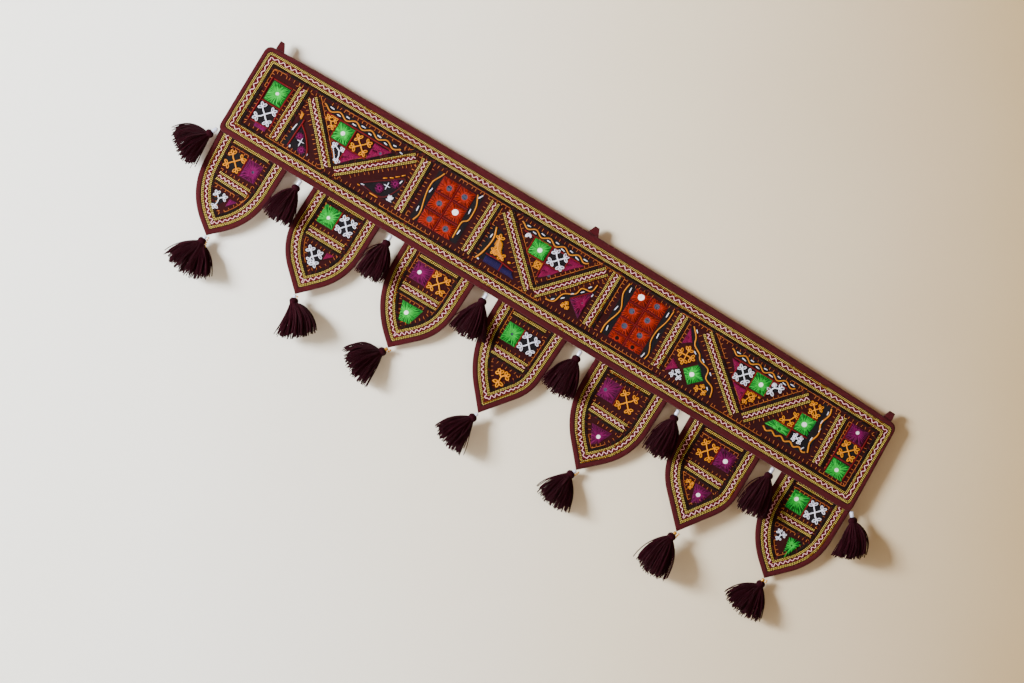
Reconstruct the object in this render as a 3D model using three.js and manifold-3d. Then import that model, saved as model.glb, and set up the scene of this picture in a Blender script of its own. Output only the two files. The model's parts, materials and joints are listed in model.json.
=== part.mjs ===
// A toran, the embroidered hanging for the top of a doorway: a bound band of cloth with seven pointed
// pennants behind its lower edge, braid trims, yarn tassels between and under the pennants, and three
// small loops to hang it by. Millimetres, +Z up. The front faces -Y, and the origin is the middle of
// the band's top edge.
import * as THREE from "three";
import { mergeVertices } from "three/addons/utils/BufferGeometryUtils.js";
import Module from "manifold-3d";

const wasm = await Module();
wasm.setup();

// Thicknesses and gaps
const CLOTH = 1.6; // quilted ground cloth
const FOLD = 1; // one leaf of a folded binding
const BRAID = 0.9; // trim sewn on the ground
const GAP = 0.4; // between two pieces that are sewn together
const BRAID_WIDTH = 12.4;
const TUCK_DEPTH = 4.8; // how far behind the band the pennants hang
const TUCK_HEIGHT = 8; // how far a pennant reaches up behind the band

// The band: the corners of its outline and of the seams inside it, before its top is arched
const BAND_EDGE = {
  topLeft: [-460.4, -8.3],
  topRight: [455, -8.3],
  bottomRight: [460.2, -131],
  bottomLeft: [-460.4, -129.4],
  radius: 9,
};
const BINDING_SEAM = {
  topLeft: [-455.2, -12.9],
  topRight: [452.2, -13.2],
  bottomRight: [454.4, -123.4],
  bottomLeft: [-455.2, -122.9],
  radius: 5,
};
const TRIM_OUTER = {
  topLeft: [-454.7, -13.4],
  topRight: [451.7, -13.7],
  bottomRight: [453.9, -122.9],
  bottomLeft: [-454.7, -122.4],
  radius: 5,
};
const TRIM_INNER = {
  topLeft: [-442, -25.4],
  topRight: [440.4, -26],
  bottomRight: [441.4, -110.8],
  bottomLeft: [-442, -110.4],
  radius: 2,
};
// The band's top rises from its ends to its middle: all of the cloth above CLOTH_ARCH_FOOT a little, and
// the strip above the binding's seam some more.
const CLOTH_ARCH = 4.5;
const CLOTH_ARCH_FOOT = -95;
const CLOTH_ARCH_FULL = -35;
const EDGE_ARCH = 3.8;
const SLOT_SHARE = 0.28; // the bottom of the binding's fold, as a share of its width
const EDGE_SHARE = 0.46; // the raw edge of the cloth in that fold, as a share of its width
const CORNER_CUT = 6; // cut off the corners of the band's cloth

// Steps along the pieces
const COLUMNS = 30;
const ROWS = 4;
const CORNER_STEPS = 2;
const BRAID_STEP = 22;

// The slow waves of the hanging cloth. height is half of a wave's depth, slant turns its crest.
const WAVES = [
  { height: 2.1, length: 320, slant: 0.25, start: 0.4 },
  { height: 0.8, length: 176, slant: -0.5, start: 2.1 },
];
// The top right corner turns back from the hanging plane.
const CURL = { fromX: 392, fromZ: -80, depth: 4.6 };

// Straight braids that divide the band: the middle of the top end, the sideways lean of the bottom
// end, and the heights of the ends
const DIVIDERS = [
  { x: -393.9, lean: -0.5, top: -34.4, bottom: -103.6 },
  { x: -217.2, lean: 1.6, top: -32.6, bottom: -99.8 },
  { x: -116.4, lean: -1.2, top: -33.6, bottom: -100.4 },
  { x: 58.8, lean: 0, top: -31.4, bottom: -100.4 },
  { x: 156.6, lean: 1, top: -31.8, bottom: -99.8 },
  { x: 389.8, lean: 2.4, top: -35.4, bottom: -99.6 },
];

// Braids laid in a V: the left end, the foot's two corners and the right end
const CHEVRONS = [
  { left: [-378, -38.4], footLeft: [-319.6, -100.2], footRight: [-308.4, -99.2], right: [-231, -36.4] },
  { left: [-98, -35.8], footLeft: [-26.1, -99.8], footRight: [-17.4, -99.7], right: [45.4, -35.4] },
  { left: [193, -35.4], footLeft: [272.3, -99.2], footRight: [284.8, -98], right: [342, -37.4] },
];

// Pennants. left and right hold the places of the side edges at the band and of the shoulders, heights
// the heights of the two shoulders, rounds how far the shoulders' curves run each way, curl how far the
// tip stands forward (-) or back (+), and cross the ends, height and rise of the cross trim.
const PENNANTS = [
  {
    left: [-458, -452], right: [-358.7, -360], heights: [-212.4, -208], rounds: [42, 38],
    tip: [-403.8, -250.2], curl: 2, cross: { from: -429.4, to: -386.6, z: -178, rise: -1 },
  },
  {
    left: [-320.8, -322], right: [-223.8, -224.8], heights: [-207.4, -208.4], rounds: [35, 35],
    tip: [-271.2, -255.4], curl: -3, cross: { from: -298.6, to: -250.6, z: -177.2, rise: 0 },
  },
  {
    left: [-188.5, -188.4], right: [-85.8, -88.4], heights: [-207.4, -205.4], rounds: [52, 31],
    tip: [-138, -252.6], curl: 3, cross: { from: -163.2, to: -112.6, z: -176.8, rise: 0 },
  },
  {
    left: [-52.2, -51.6], right: [49.1, 44.6], heights: [-203, -208.4], rounds: [46, 20],
    tip: [0, -264], curl: -2, cross: { from: -24.4, to: 21, z: -185, rise: -1 },
  },
  {
    left: [89.5, 90.2], right: [194.6, 193.6], heights: [-203.2, -212], rounds: [39, 38],
    tip: [141.2, -261.6], curl: 3, cross: { from: 116.4, to: 166, z: -183.6, rise: -2 },
  },
  {
    left: [227.6, 228.8], right: [329.5, 330], heights: [-202.4, -203], rounds: [31, 19],
    tip: [287.2, -262.2], curl: -3, cross: { from: 256, to: 304.6, z: -183.4, rise: -1 },
  },
  {
    left: [360.6, 360.4], right: [459.5, 459], heights: [-210, -206.6], rounds: [46, 34],
    tip: [411.4, -255.4], curl: 2, cross: { from: 387, to: 433.2, z: -177.6, rise: 1 },
  },
];
const BAND_FOOT = -129; // the band's lower edge, where the pennants come out from behind it
const PENNANT_TOP = BAND_FOOT + TUCK_HEIGHT;
const PENNANT_BINDING = 6.2;
const SIDE_TRIM_FROM = PENNANT_BINDING + GAP;
const SHOULDER_TIGHTER = 0.38; // what the curve loses for each mm that an outline lies further in
const SIDE_STEPS = { upright: 2, shoulder: 3, point: 1 };
const PENNANT_COLUMNS = 5;

// Tassels: where the cord leaves the cloth, the cord's lean, the two sides of the skirt's fan, and how
// far forward it leans, all in degrees from straight down, with the skirt's length.
const TIP_TASSELS = [
  { lean: -6, fan: [-42, 44], forward: 11, length: 43 },
  { lean: 23, fan: [6, 70], forward: 10, length: 43 },
  { lean: -28, fan: [-64, 2], forward: 12, length: 44 },
  { lean: -20, fan: [-46, 10], forward: 10, length: 43 },
  { lean: -22, fan: [-30, 26], forward: 12, length: 42 },
  { lean: -14, fan: [-24, 18], forward: 10, length: 50 },
  { lean: 0, fan: [-46, 28], forward: 11, length: 41 },
];
const EDGE_TASSELS = [
  { name: "tassel_left_end", x: -460.3, z: -128.9, lean: -26, fan: [-70, 4], forward: 9, length: 42 },
  { name: "tassel_gap_1", x: -338, z: -130.2, lean: -2, fan: [-24, 20], forward: 9, length: 44 },
  { name: "tassel_gap_2", x: -207, z: -130.5, lean: 1, fan: [-16, 22], forward: 9, length: 46 },
  { name: "tassel_gap_3", x: -67.2, z: -130.7, lean: 0, fan: [-22, 30], forward: 10, length: 45 },
  { name: "tassel_gap_4", x: 69.6, z: -131, lean: 0, fan: [-24, 23], forward: 9, length: 47 },
  { name: "tassel_gap_5", x: 211.4, z: -131.2, lean: 2, fan: [-14, 21], forward: 9, length: 49 },
  { name: "tassel_gap_6", x: 349.4, z: -131.5, lean: 0, fan: [-16, 22], forward: 9, length: 50 },
  { name: "tassel_right_end", x: 460.6, z: -127.7, lean: 38, fan: [0, 46], forward: 9, length: 44 },
];
const CORD_RADIUS = 0.9;
const TIP_CORD = 4;
const EDGE_CORD = 8;
const HEAD = { radius: 5.8, height: 7.4, sides: 8 };
// The head's outline from its foot to its shoulder, as shares of its radius and of its height
const HEAD_PROFILE = [
  { out: 0.8, down: 1 },
  { out: 0.86, down: 0.8 },
  { out: 1, down: 0.45 },
  { out: 0.7, down: 0.08 },
];
const HEAD_SHOULDER = 0.3; // from the cord to the top of the head's shoulder
const LOCKS = { outer: 10, inner: 3, innerShare: 0.45, depthSpread: 10 };
const LOCK_ROOTS = { ring: 0.55, sunk: 2 }; // the ring of roots as a share of the head, and their depth in it
const LOCK_UNEVEN = 0.06; // how far the locks' lengths differ
const LOCK_FLATTER = 0.3; // what is left of a lock's bow towards the front or the back
const LOCK_RADII = { root: 1, middle: 2.3, tip: 1.5 };
const LOCK_DROOP = 0.1; // how far a lock bows outwards, as a share of its length
const IN_FRONT = 1; // an edge tassel's cord stands this far in front of the cloth's middle
const TIP_CLEAR = 0.6; // from a pennant's tip to the cord of its tassel

// Hanging loops, seen from the front: the foot on the band's top edge and the peak
const LOOPS = [
  { name: "hanging_loop_left", foot: [-449.4, -437.6], peak: [-449, -444.6], rise: 11.4 },
  { name: "hanging_loop_middle", foot: [0.4, 15], peak: [5.4, 10], rise: 10.8 },
  { name: "hanging_loop_right", foot: [433.6, 445.4], peak: [438, 444.6], rise: 10.4 },
];
// A loop in section: the strip's thickness, the hole's depth, where the hole starts above the band, how
// far the tail reaches down behind the band, and the share of the rise at which the eye rounds over by
// the shoulder's width.
const LOOP = { leaf: 1, hole: 4.8, lift: 0.5, tail: 9, behind: 3.1, eyeTop: 0.72, shoulder: 1.6 };
const LOOP_SPARE = 2; // what the strip is longer each way before its outline is cut
const CUTTER_DEPTH = 30;

const MATERIALS = {
  ground: new THREE.MeshStandardMaterial({ color: 0x3a0f12, roughness: 0.95, metalness: 0 }),
  binding: new THREE.MeshStandardMaterial({ color: 0x5a1920, roughness: 0.85, metalness: 0 }),
  braid: new THREE.MeshStandardMaterial({ color: 0xb9a04a, roughness: 0.7, metalness: 0 }),
  yarn: new THREE.MeshStandardMaterial({ color: 0x2e0d14, roughness: 0.9, metalness: 0 }),
};

const lerp = THREE.MathUtils.lerp;
const clamp = THREE.MathUtils.clamp;
const radians = THREE.MathUtils.degToRad;

// How far the hanging cloth stands back (+) or forward (-) at a place on it.
function swell(x, z) {
  let depth = 0;
  for (const wave of WAVES) {
    const phase = ((x + wave.slant * z) / wave.length) * 2 * Math.PI + wave.start;
    depth += wave.height * Math.sin(phase);
  }
  const across = clamp((x - CURL.fromX) / (BAND_EDGE.topRight[0] - CURL.fromX), 0, 1);
  const up = clamp((z - CURL.fromZ) / -CURL.fromZ, 0, 1);
  return depth + CURL.depth * across ** 2 * up;
}

// The same behind the band, on a pennant whose tip curls.
function pennantSwell(pennant, x, z) {
  const down = clamp((PENNANT_TOP - z) / (PENNANT_TOP - pennant.tip[1]), 0, 1);
  return swell(x, z) + TUCK_DEPTH + pennant.curl * down ** 2;
}

// Lifts a place on the flat band into the arch of its top.
function arched(point) {
  const [left, right] = [BAND_EDGE.topLeft[0], BAND_EDGE.topRight[0]];
  const along = clamp((point.x - left) / (right - left), 0, 1);
  const inCloth = clamp((point.y - CLOTH_ARCH_FOOT) / (CLOTH_ARCH_FULL - CLOTH_ARCH_FOOT), 0, 1);
  const seam = BINDING_SEAM.topLeft[1];
  const inEdge = clamp((point.y - seam) / (BAND_EDGE.topLeft[1] - seam), 0, 1);
  const rise = Math.sqrt(Math.sin(Math.PI * along)) * (CLOTH_ARCH * inCloth + EDGE_ARCH * inEdge);
  return new THREE.Vector2(point.x, point.y + rise);
}

// A closed solid from a list of corners and triangles, turned so that its faces point out. Triangles
// that have shrunk to a line, as at a sheet's tip, are left out.
function solid(corners, triangles) {
  const raw = new THREE.BufferGeometry().setFromPoints(corners);
  raw.setIndex(triangles);
  const merged = mergeVertices(raw, 1e-4);
  const old = merged.index.array;
  const kept = [];
  for (let i = 0; i < old.length; i += 3) {
    const [a, b, c] = [old[i], old[i + 1], old[i + 2]];
    if (a !== b && b !== c && c !== a) kept.push(a, b, c);
  }
  if (signedVolume(merged, kept) < 0) kept.reverse();
  merged.setIndex(kept);
  merged.computeVertexNormals();
  return merged;
}

function signedVolume(geometry, index) {
  const position = geometry.getAttribute("position");
  const [a, b, c] = [new THREE.Vector3(), new THREE.Vector3(), new THREE.Vector3()];
  let volume = 0;
  for (let i = 0; i < index.length; i += 3) {
    a.fromBufferAttribute(position, index[i]);
    b.fromBufferAttribute(position, index[i + 1]);
    c.fromBufferAttribute(position, index[i + 2]);
    volume += a.dot(b.cross(c)) / 6;
  }
  return volume;
}

// A sheet of cloth: rows of places in the plan, each carried to the hanging shape by depthAt.
function sheet(rows, depthAt) {
  const wide = rows[0].length;
  const face = rows.length * wide;
  const corners = [-CLOTH / 2, CLOTH / 2].flatMap((side) =>
    rows.flat().map((p) => new THREE.Vector3(p.x, depthAt(p.x, p.y) + side, p.y)),
  );
  const triangles = [];
  const quad = (a, b, c, d) => triangles.push(a, b, c, a, c, d);
  for (let r = 0; r + 1 < rows.length; r++) {
    for (let c = 0; c + 1 < wide; c++) {
      const a = r * wide + c;
      quad(a, a + wide, a + wide + 1, a + 1);
      quad(face + a, face + a + 1, face + a + wide + 1, face + a + wide);
    }
    const [left, right] = [r * wide, r * wide + wide - 1];
    quad(left, face + left, face + left + wide, left + wide);
    quad(right, right + wide, face + right + wide, face + right);
  }
  for (let c = 0; c + 1 < wide; c++) {
    const last = (rows.length - 1) * wide + c;
    quad(c, c + 1, face + c + 1, face + c);
    quad(last, face + last, face + last + 1, last + 1);
  }
  return solid(corners, triangles);
}

// A strip with the given section, a closed list of { share, depth }. outlineAt gives the plan outline
// at a share of the strip's width, with as many places at every share.
function strip(section, outlineAt, depthAt, closed) {
  const lines = section.map(({ share, depth }) =>
    outlineAt(share).map((p) => new THREE.Vector3(p.x, depthAt(p.x, p.y) + depth, p.y)),
  );
  const stations = lines[0].length;
  const sides = section.length;
  const at = (side, station) => (side % sides) * stations + (station % stations);
  const triangles = [];
  for (let side = 0; side < sides; side++) {
    for (let station = 0; station < (closed ? stations : stations - 1); station++) {
      const [a, b] = [at(side, station), at(side, station + 1)];
      const [c, d] = [at(side + 1, station + 1), at(side + 1, station)];
      triangles.push(a, b, c, a, c, d);
    }
  }
  if (!closed) {
    const contour = section.map(({ share, depth }) => new THREE.Vector2(share, depth / FOLD));
    for (const [a, b, c] of THREE.ShapeUtils.triangulateShape(contour, [])) {
      const turned = THREE.ShapeUtils.isClockWise(contour) ? [a, c, b] : [a, b, c];
      triangles.push(...capTriangle(turned, 0, at), ...capTriangle([...turned].reverse(), stations - 1, at));
    }
  }
  return solid(lines.flat(), closed ? triangles : facingOneWay(triangles));
}

const capTriangle = (sides, station, at) => sides.map((side) => at(side, station));

// Turns each triangle so that two neighbours run along their common edge in opposite directions.
function facingOneWay(triangles) {
  const byEdge = new Map();
  const count = triangles.length / 3;
  const edgesOf = (t) => [0, 1, 2].map((k) => [triangles[3 * t + k], triangles[3 * t + ((k + 1) % 3)]]);
  const key = ([a, b]) => Math.min(a, b) + "_" + Math.max(a, b);
  for (let t = 0; t < count; t++) {
    for (const edge of edgesOf(t)) byEdge.set(key(edge), [...(byEdge.get(key(edge)) ?? []), t]);
  }
  const done = new Set([0]);
  const queue = [0];
  while (queue.length) {
    const t = queue.pop();
    for (const edge of edgesOf(t)) {
      for (const other of byEdge.get(key(edge))) {
        if (done.has(other)) continue;
        if (edgesOf(other).some(([a, b]) => a === edge[0] && b === edge[1])) {
          [triangles[3 * other], triangles[3 * other + 1]] = [triangles[3 * other + 1], triangles[3 * other]];
        }
        done.add(other);
        queue.push(other);
      }
    }
  }
  return triangles;
}

// The folded binding in section: a U round the cloth's edge, and a flat braid in front of the cloth.
const HALF = CLOTH / 2 + GAP;
const BINDING_SECTION = [
  { share: 0, depth: -HALF - FOLD },
  { share: 0, depth: HALF + FOLD },
  { share: 1, depth: HALF + FOLD },
  { share: 1, depth: HALF },
  { share: SLOT_SHARE, depth: HALF },
  { share: SLOT_SHARE, depth: -HALF },
  { share: 1, depth: -HALF },
  { share: 1, depth: -HALF - FOLD },
];
const BRAID_SECTION = [
  { share: 0, depth: -HALF },
  { share: 1, depth: -HALF },
  { share: 1, depth: -HALF - BRAID },
  { share: 0, depth: -HALF - BRAID },
];

// The band

const corner = ([x, z]) => new THREE.Vector2(x, z);

// The outline of the band between two of the rings above, clockwise from the top left.
function bandOutline(outer, inner, share) {
  const radius = lerp(outer.radius, inner.radius, share);
  const names = ["topLeft", "topRight", "bottomRight", "bottomLeft"];
  const corners = names.map((name) => corner(outer[name]).lerp(corner(inner[name]), share));
  const outline = [];
  corners.forEach((here, i) => {
    const before = corners[(i + 3) % 4];
    const after = corners[(i + 1) % 4];
    const start = here.clone().add(before.clone().sub(here).setLength(radius));
    const end = here.clone().add(after.clone().sub(here).setLength(radius));
    outline.push(...new THREE.QuadraticBezierCurve(start, here, end).getPoints(CORNER_STEPS));
    const next = after.clone().add(here.clone().sub(after).setLength(radius));
    const steps = i % 2 ? ROWS : COLUMNS;
    for (let s = 1; s < steps; s++) outline.push(end.clone().lerp(next, s / steps));
  });
  return outline.map(arched);
}

function bandCloth() {
  const [topLeft, topRight, bottomRight, bottomLeft] = ["topLeft", "topRight", "bottomRight", "bottomLeft"].map(
    (name) => corner(BAND_EDGE[name]).lerp(corner(BINDING_SEAM[name]), EDGE_SHARE),
  );
  const height = topLeft.y - bottomLeft.y;
  const downs = [0, CORNER_CUT / height];
  for (let r = 1; r < ROWS; r++) downs.push(r / ROWS);
  downs.push(1 - CORNER_CUT / height, 1);
  const rows = downs.map((down) => {
    const cut = down === 0 || down === 1 ? CORNER_CUT : 0;
    const left = topLeft.clone().lerp(bottomLeft, down).add(new THREE.Vector2(cut, 0));
    const right = topRight.clone().lerp(bottomRight, down).sub(new THREE.Vector2(cut, 0));
    const row = [];
    for (let c = 0; c <= COLUMNS; c++) row.push(arched(left.clone().lerp(right, c / COLUMNS)));
    return row;
  });
  return sheet(rows, swell);
}

// A braid along a route in the plan, with mitred turns and steps no longer than the cloth's.
function braidAlong(route, depthAt, planOf = (place) => place) {
  const outlineAt = (share) => {
    const line = insetRoute(route, (share - 0.5) * BRAID_WIDTH);
    const places = [line[0]];
    for (let i = 0; i + 1 < line.length; i++) {
      const steps = Math.ceil(route[i].distanceTo(route[i + 1]) / BRAID_STEP);
      for (let s = 1; s <= steps; s++) places.push(line[i].clone().lerp(line[i + 1], s / steps));
    }
    return places.map(planOf);
  };
  return strip(BRAID_SECTION, outlineAt, depthAt, false);
}

// A route moved sideways by a distance, with each turn mitred.
function insetRoute(route, distance) {
  const normals = route.slice(1).map((p, i) => {
    const along = p.clone().sub(route[i]).normalize();
    return new THREE.Vector2(-along.y, along.x);
  });
  return route.map((p, i) => {
    const before = normals[Math.max(i - 1, 0)];
    const after = normals[Math.min(i, normals.length - 1)];
    const middle = before.clone().add(after).normalize();
    return p.clone().addScaledVector(middle, distance / middle.dot(after));
  });
}

// The pennants

// The side edges of a pennant at a distance inside its outline, from the top left round the tip to
// the top right.
function pennantOutline(pennant, inset) {
  const [leftShoulder, rightShoulder] = pennant.heights;
  const tip = corner(pennant.tip);
  const route = [
    new THREE.Vector2(pennant.left[0], PENNANT_TOP),
    new THREE.Vector2(pennant.left[1], leftShoulder),
    tip,
    new THREE.Vector2(pennant.right[1], rightShoulder),
    new THREE.Vector2(pennant.right[0], PENNANT_TOP),
  ];
  const [topLeft, left, point, right, topRight] = insetRoute(route, inset);
  topLeft.y = PENNANT_TOP;
  topRight.y = PENNANT_TOP;
  const [leftRound, rightRound] = pennant.rounds.map((round) => round - SHOULDER_TIGHTER * inset);
  const leftSide = shoulderedSide(topLeft, left, point, leftRound);
  const rightSide = shoulderedSide(topRight, right, point, rightRound);
  return { leftSide, rightSide, whole: [...leftSide, ...rightSide.slice(0, -1).reverse()] };
}

// One side from the band to the tip, with a soft turn at the shoulder.
function shoulderedSide(top, shoulder, tip, reach) {
  const start = shoulder.clone().add(top.clone().sub(shoulder).setLength(reach));
  const end = shoulder.clone().add(tip.clone().sub(shoulder).setLength(reach));
  const upright = new THREE.LineCurve(top, start).getPoints(SIDE_STEPS.upright);
  const turn = new THREE.QuadraticBezierCurve(start, shoulder, end).getPoints(SIDE_STEPS.shoulder);
  const point = new THREE.LineCurve(end, tip).getPoints(SIDE_STEPS.point);
  return [...upright, ...turn.slice(1), ...point.slice(1)];
}

function pennantCloth(pennant) {
  const { leftSide, rightSide } = pennantOutline(pennant, PENNANT_BINDING * EDGE_SHARE);
  const rows = leftSide.map((left, r) => {
    const row = [];
    for (let c = 0; c <= PENNANT_COLUMNS; c++) row.push(left.clone().lerp(rightSide[r], c / PENNANT_COLUMNS));
    return row;
  });
  return sheet(rows, (x, z) => pennantSwell(pennant, x, z));
}

function pennantStrip(pennant, section, from, to) {
  const outlineAt = (share) => pennantOutline(pennant, lerp(from, to, share)).whole;
  return strip(section, outlineAt, (x, z) => pennantSwell(pennant, x, z), false);
}

function crossTrim(pennant) {
  const { from, to, z, rise } = pennant.cross;
  const route = [new THREE.Vector2(from, z), new THREE.Vector2(to, z + rise)];
  return braidAlong(route, (x, height) => pennantSwell(pennant, x, height));
}

// Joining and cutting

function toManifold(geometry) {
  const bare = geometry.clone();
  bare.deleteAttribute("normal");
  bare.deleteAttribute("uv");
  const merged = mergeVertices(bare, 1e-4);
  return new wasm.Manifold(
    new wasm.Mesh({
      numProp: 3,
      vertProperties: new Float32Array(merged.getAttribute("position").array),
      triVerts: new Uint32Array(merged.index.array),
    }),
  );
}

function toGeometry(manifold) {
  const mesh = manifold.getMesh();
  const geometry = new THREE.BufferGeometry();
  geometry.setAttribute("position", new THREE.BufferAttribute(new Float32Array(mesh.vertProperties), 3));
  geometry.setIndex(new THREE.BufferAttribute(new Uint32Array(mesh.triVerts), 1));
  geometry.computeVertexNormals();
  return geometry;
}

// The tassels

// Cord and head as one turned form, with the cord's top at the origin and the axis down.
function tasselHead(cord) {
  const { radius, height, sides } = HEAD;
  const profile = [
    new THREE.Vector2(0, -cord - height),
    ...HEAD_PROFILE.map(({ out, down }) => new THREE.Vector2(radius * out, -cord - height * down)),
    new THREE.Vector2(CORD_RADIUS, -cord + HEAD_SHOULDER),
    new THREE.Vector2(CORD_RADIUS, 0),
    new THREE.Vector2(0, 0),
  ];
  return new THREE.LatheGeometry(profile, sides).rotateX(Math.PI / 2);
}

// A tapered lock of yarn with three sides, bowed a little outwards.
function lock(root, end, outwards, turn) {
  const middle = root.clone().lerp(end, 0.5).addScaledVector(outwards, LOCK_DROOP * root.distanceTo(end));
  const stations = [
    [root, LOCK_RADII.root],
    [middle, LOCK_RADII.middle],
    [end, LOCK_RADII.tip],
  ];
  const along = end.clone().sub(root).normalize();
  const across = new THREE.Vector3(0, 1, 0).cross(along).normalize();
  const over = along.clone().cross(across);
  const corners = stations.flatMap(([place, radius]) =>
    [0, 1, 2].map((k) => {
      const angle = turn + (k * 2 * Math.PI) / 3;
      return place
        .clone()
        .addScaledVector(across, radius * Math.cos(angle))
        .addScaledVector(over, radius * Math.sin(angle));
    }),
  );
  const triangles = [0, 1, 2, 6, 8, 7];
  for (const ring of [0, 3]) {
    for (let k = 0; k < 3; k++) {
      const [a, b] = [ring + k, ring + ((k + 1) % 3)];
      triangles.push(b, a, a + 3, b, a + 3, b + 3);
    }
  }
  return solid(corners, triangles);
}

// The locks leave the head in two rings and fan out to the sides that the tassel's row gives.
function tassel({ lean, fan, forward, length }, cord) {
  const tilt = radians(lean);
  const rootsDown = cord + HEAD.height - LOCK_ROOTS.sunk;
  const underHead = new THREE.Vector3(Math.sin(tilt), 0, -Math.cos(tilt)).multiplyScalar(rootsDown);
  const across = new THREE.Vector3(Math.cos(tilt), 0, Math.sin(tilt));
  const centre = (fan[0] + fan[1]) / 2;
  const spread = (fan[1] - fan[0]) / 2;
  let body = toManifold(tasselHead(cord).rotateY(-tilt));
  const ring = (count, share, offset) => {
    for (let i = 0; i < count; i++) {
      const around = ((i + offset) / count) * 2 * Math.PI;
      const sideways = radians(centre + spread * share * Math.cos(around));
      const depthwise = radians(-forward + LOCKS.depthSpread * share * Math.sin(around));
      const end = new THREE.Vector3(
        Math.sin(sideways) * Math.cos(depthwise),
        Math.sin(depthwise),
        -Math.cos(sideways) * Math.cos(depthwise),
      ).multiplyScalar(length * (1 - LOCK_UNEVEN * Math.cos(3 * around)));
      const fromAxis = HEAD.radius * LOCK_ROOTS.ring * share;
      const root = underHead.clone().addScaledVector(across, fromAxis * Math.cos(around));
      root.y += fromAxis * Math.sin(around);
      const bow = new THREE.Vector3(Math.cos(around), LOCK_FLATTER * Math.sin(around), 0);
      const outwards = bow.multiplyScalar(share);
      body = body.add(toManifold(lock(root, root.clone().add(end), outwards, around)));
    }
  };
  ring(LOCKS.outer, 1, 0);
  ring(LOCKS.inner, LOCKS.innerShare, 0.5);
  return toGeometry(body);
}

// The hanging loops

// A folded strip that stands up as an eye behind the band's top edge, cut to its outline from the front.
function hangingLoop({ foot, peak, rise }) {
  const { leaf, lift, tail, behind, shoulder } = LOOP;
  const [left, right] = foot;
  const middle = (left + right) / 2;
  const edge = arched(new THREE.Vector2(middle, BAND_EDGE.topLeft[1]));
  const back = behind + 2 * leaf;
  const front = behind - LOOP.hole / 2;
  const rear = front + LOOP.hole + 2 * leaf;
  const roundsAt = rise * LOOP.eyeTop;
  // The section, in depth and height: the doubled tail behind the band, and the eye with its hole
  const eye = new THREE.Shape();
  eye.moveTo(behind, -tail);
  eye.lineTo(back, -tail);
  eye.lineTo(back, lift);
  eye.lineTo(rear, lift + leaf);
  eye.lineTo(rear, roundsAt);
  eye.lineTo(rear - shoulder, rise);
  eye.lineTo(front + shoulder, rise);
  eye.lineTo(front, roundsAt);
  eye.lineTo(front, lift);
  eye.lineTo(behind, lift);
  const hole = new THREE.Path();
  hole.moveTo(front + leaf, lift + leaf);
  hole.lineTo(front + leaf, roundsAt);
  hole.lineTo(front + 2 * leaf, rise - leaf);
  hole.lineTo(rear - 2 * leaf, rise - leaf);
  hole.lineTo(rear - leaf, roundsAt);
  hole.lineTo(rear - leaf, lift + leaf);
  eye.holes.push(hole);
  const width = right - left + 2 * LOOP_SPARE;
  const long = new THREE.ExtrudeGeometry(eye, { depth: width, bevelEnabled: false });
  // The section is drawn in depth and height, so its run turns to lie along X.
  const turned = new THREE.Matrix4().set(0, 0, 1, left - LOOP_SPARE, 1, 0, 0, 0, 0, 1, 0, edge.y, 0, 0, 0, 1);
  long.applyMatrix4(turned);
  // The outline from the front
  const outline = new THREE.Shape();
  outline.moveTo(left, -tail - LOOP_SPARE);
  outline.lineTo(right, -tail - LOOP_SPARE);
  outline.lineTo(right, lift);
  outline.lineTo(peak[1], rise + LOOP_SPARE);
  outline.lineTo(peak[0], rise + LOOP_SPARE);
  outline.lineTo(left, lift);
  const cutter = new THREE.ExtrudeGeometry(outline, { depth: CUTTER_DEPTH, bevelEnabled: false });
  cutter.rotateX(Math.PI / 2);
  cutter.translate(0, CUTTER_DEPTH / 2, edge.y);
  const shaped = toManifold(long).intersect(toManifold(cutter));
  return toGeometry(shaped).translate(0, swell(middle, edge.y), 0);
}

// The whole hanging

const toran = new THREE.Group();

function add(name, geometry, material, position = [0, 0, 0]) {
  const mesh = new THREE.Mesh(geometry, material);
  mesh.name = name;
  mesh.position.set(...position);
  toran.add(mesh);
}

const bindingOutline = (share) => bandOutline(BAND_EDGE, BINDING_SEAM, share);
const trimOutline = (share) => bandOutline(TRIM_OUTER, TRIM_INNER, share);
add("band_cloth", bandCloth(), MATERIALS.ground);
add("band_binding", strip(BINDING_SECTION, bindingOutline, swell, true), MATERIALS.binding);
add("band_border_trim", strip(BRAID_SECTION, trimOutline, swell, true), MATERIALS.braid);

DIVIDERS.forEach(({ x, lean, top, bottom }, i) => {
  const route = [new THREE.Vector2(x, top), new THREE.Vector2(x + lean, bottom)];
  add("divider_trim_" + (i + 1), braidAlong(route, swell, arched), MATERIALS.braid);
});

CHEVRONS.forEach(({ left, footLeft, footRight, right }, i) => {
  const route = [left, footLeft, footRight, right].map(corner);
  add("chevron_trim_" + (i + 1), braidAlong(route, swell, arched), MATERIALS.braid);
});

PENNANTS.forEach((pennant, i) => {
  const name = "pennant_" + (i + 1);
  add(name + "_cloth", pennantCloth(pennant), MATERIALS.ground);
  add(name + "_binding", pennantStrip(pennant, BINDING_SECTION, 0, PENNANT_BINDING), MATERIALS.binding);
  const sideTrim = pennantStrip(pennant, BRAID_SECTION, SIDE_TRIM_FROM, SIDE_TRIM_FROM + BRAID_WIDTH);
  add(name + "_side_trim", sideTrim, MATERIALS.braid);
  add(name + "_cross_trim", crossTrim(pennant), MATERIALS.braid);
});

TIP_TASSELS.forEach((row, i) => {
  const [x, z] = PENNANTS[i].tip;
  const place = [x, pennantSwell(PENNANTS[i], x, z), z - TIP_CLEAR];
  add("tassel_tip_" + (i + 1), tassel(row, TIP_CORD), MATERIALS.yarn, place);
});
EDGE_TASSELS.forEach((row) => {
  add(row.name, tassel(row, EDGE_CORD), MATERIALS.yarn, [row.x, swell(row.x, row.z) - IN_FRONT, row.z]);
});

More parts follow.
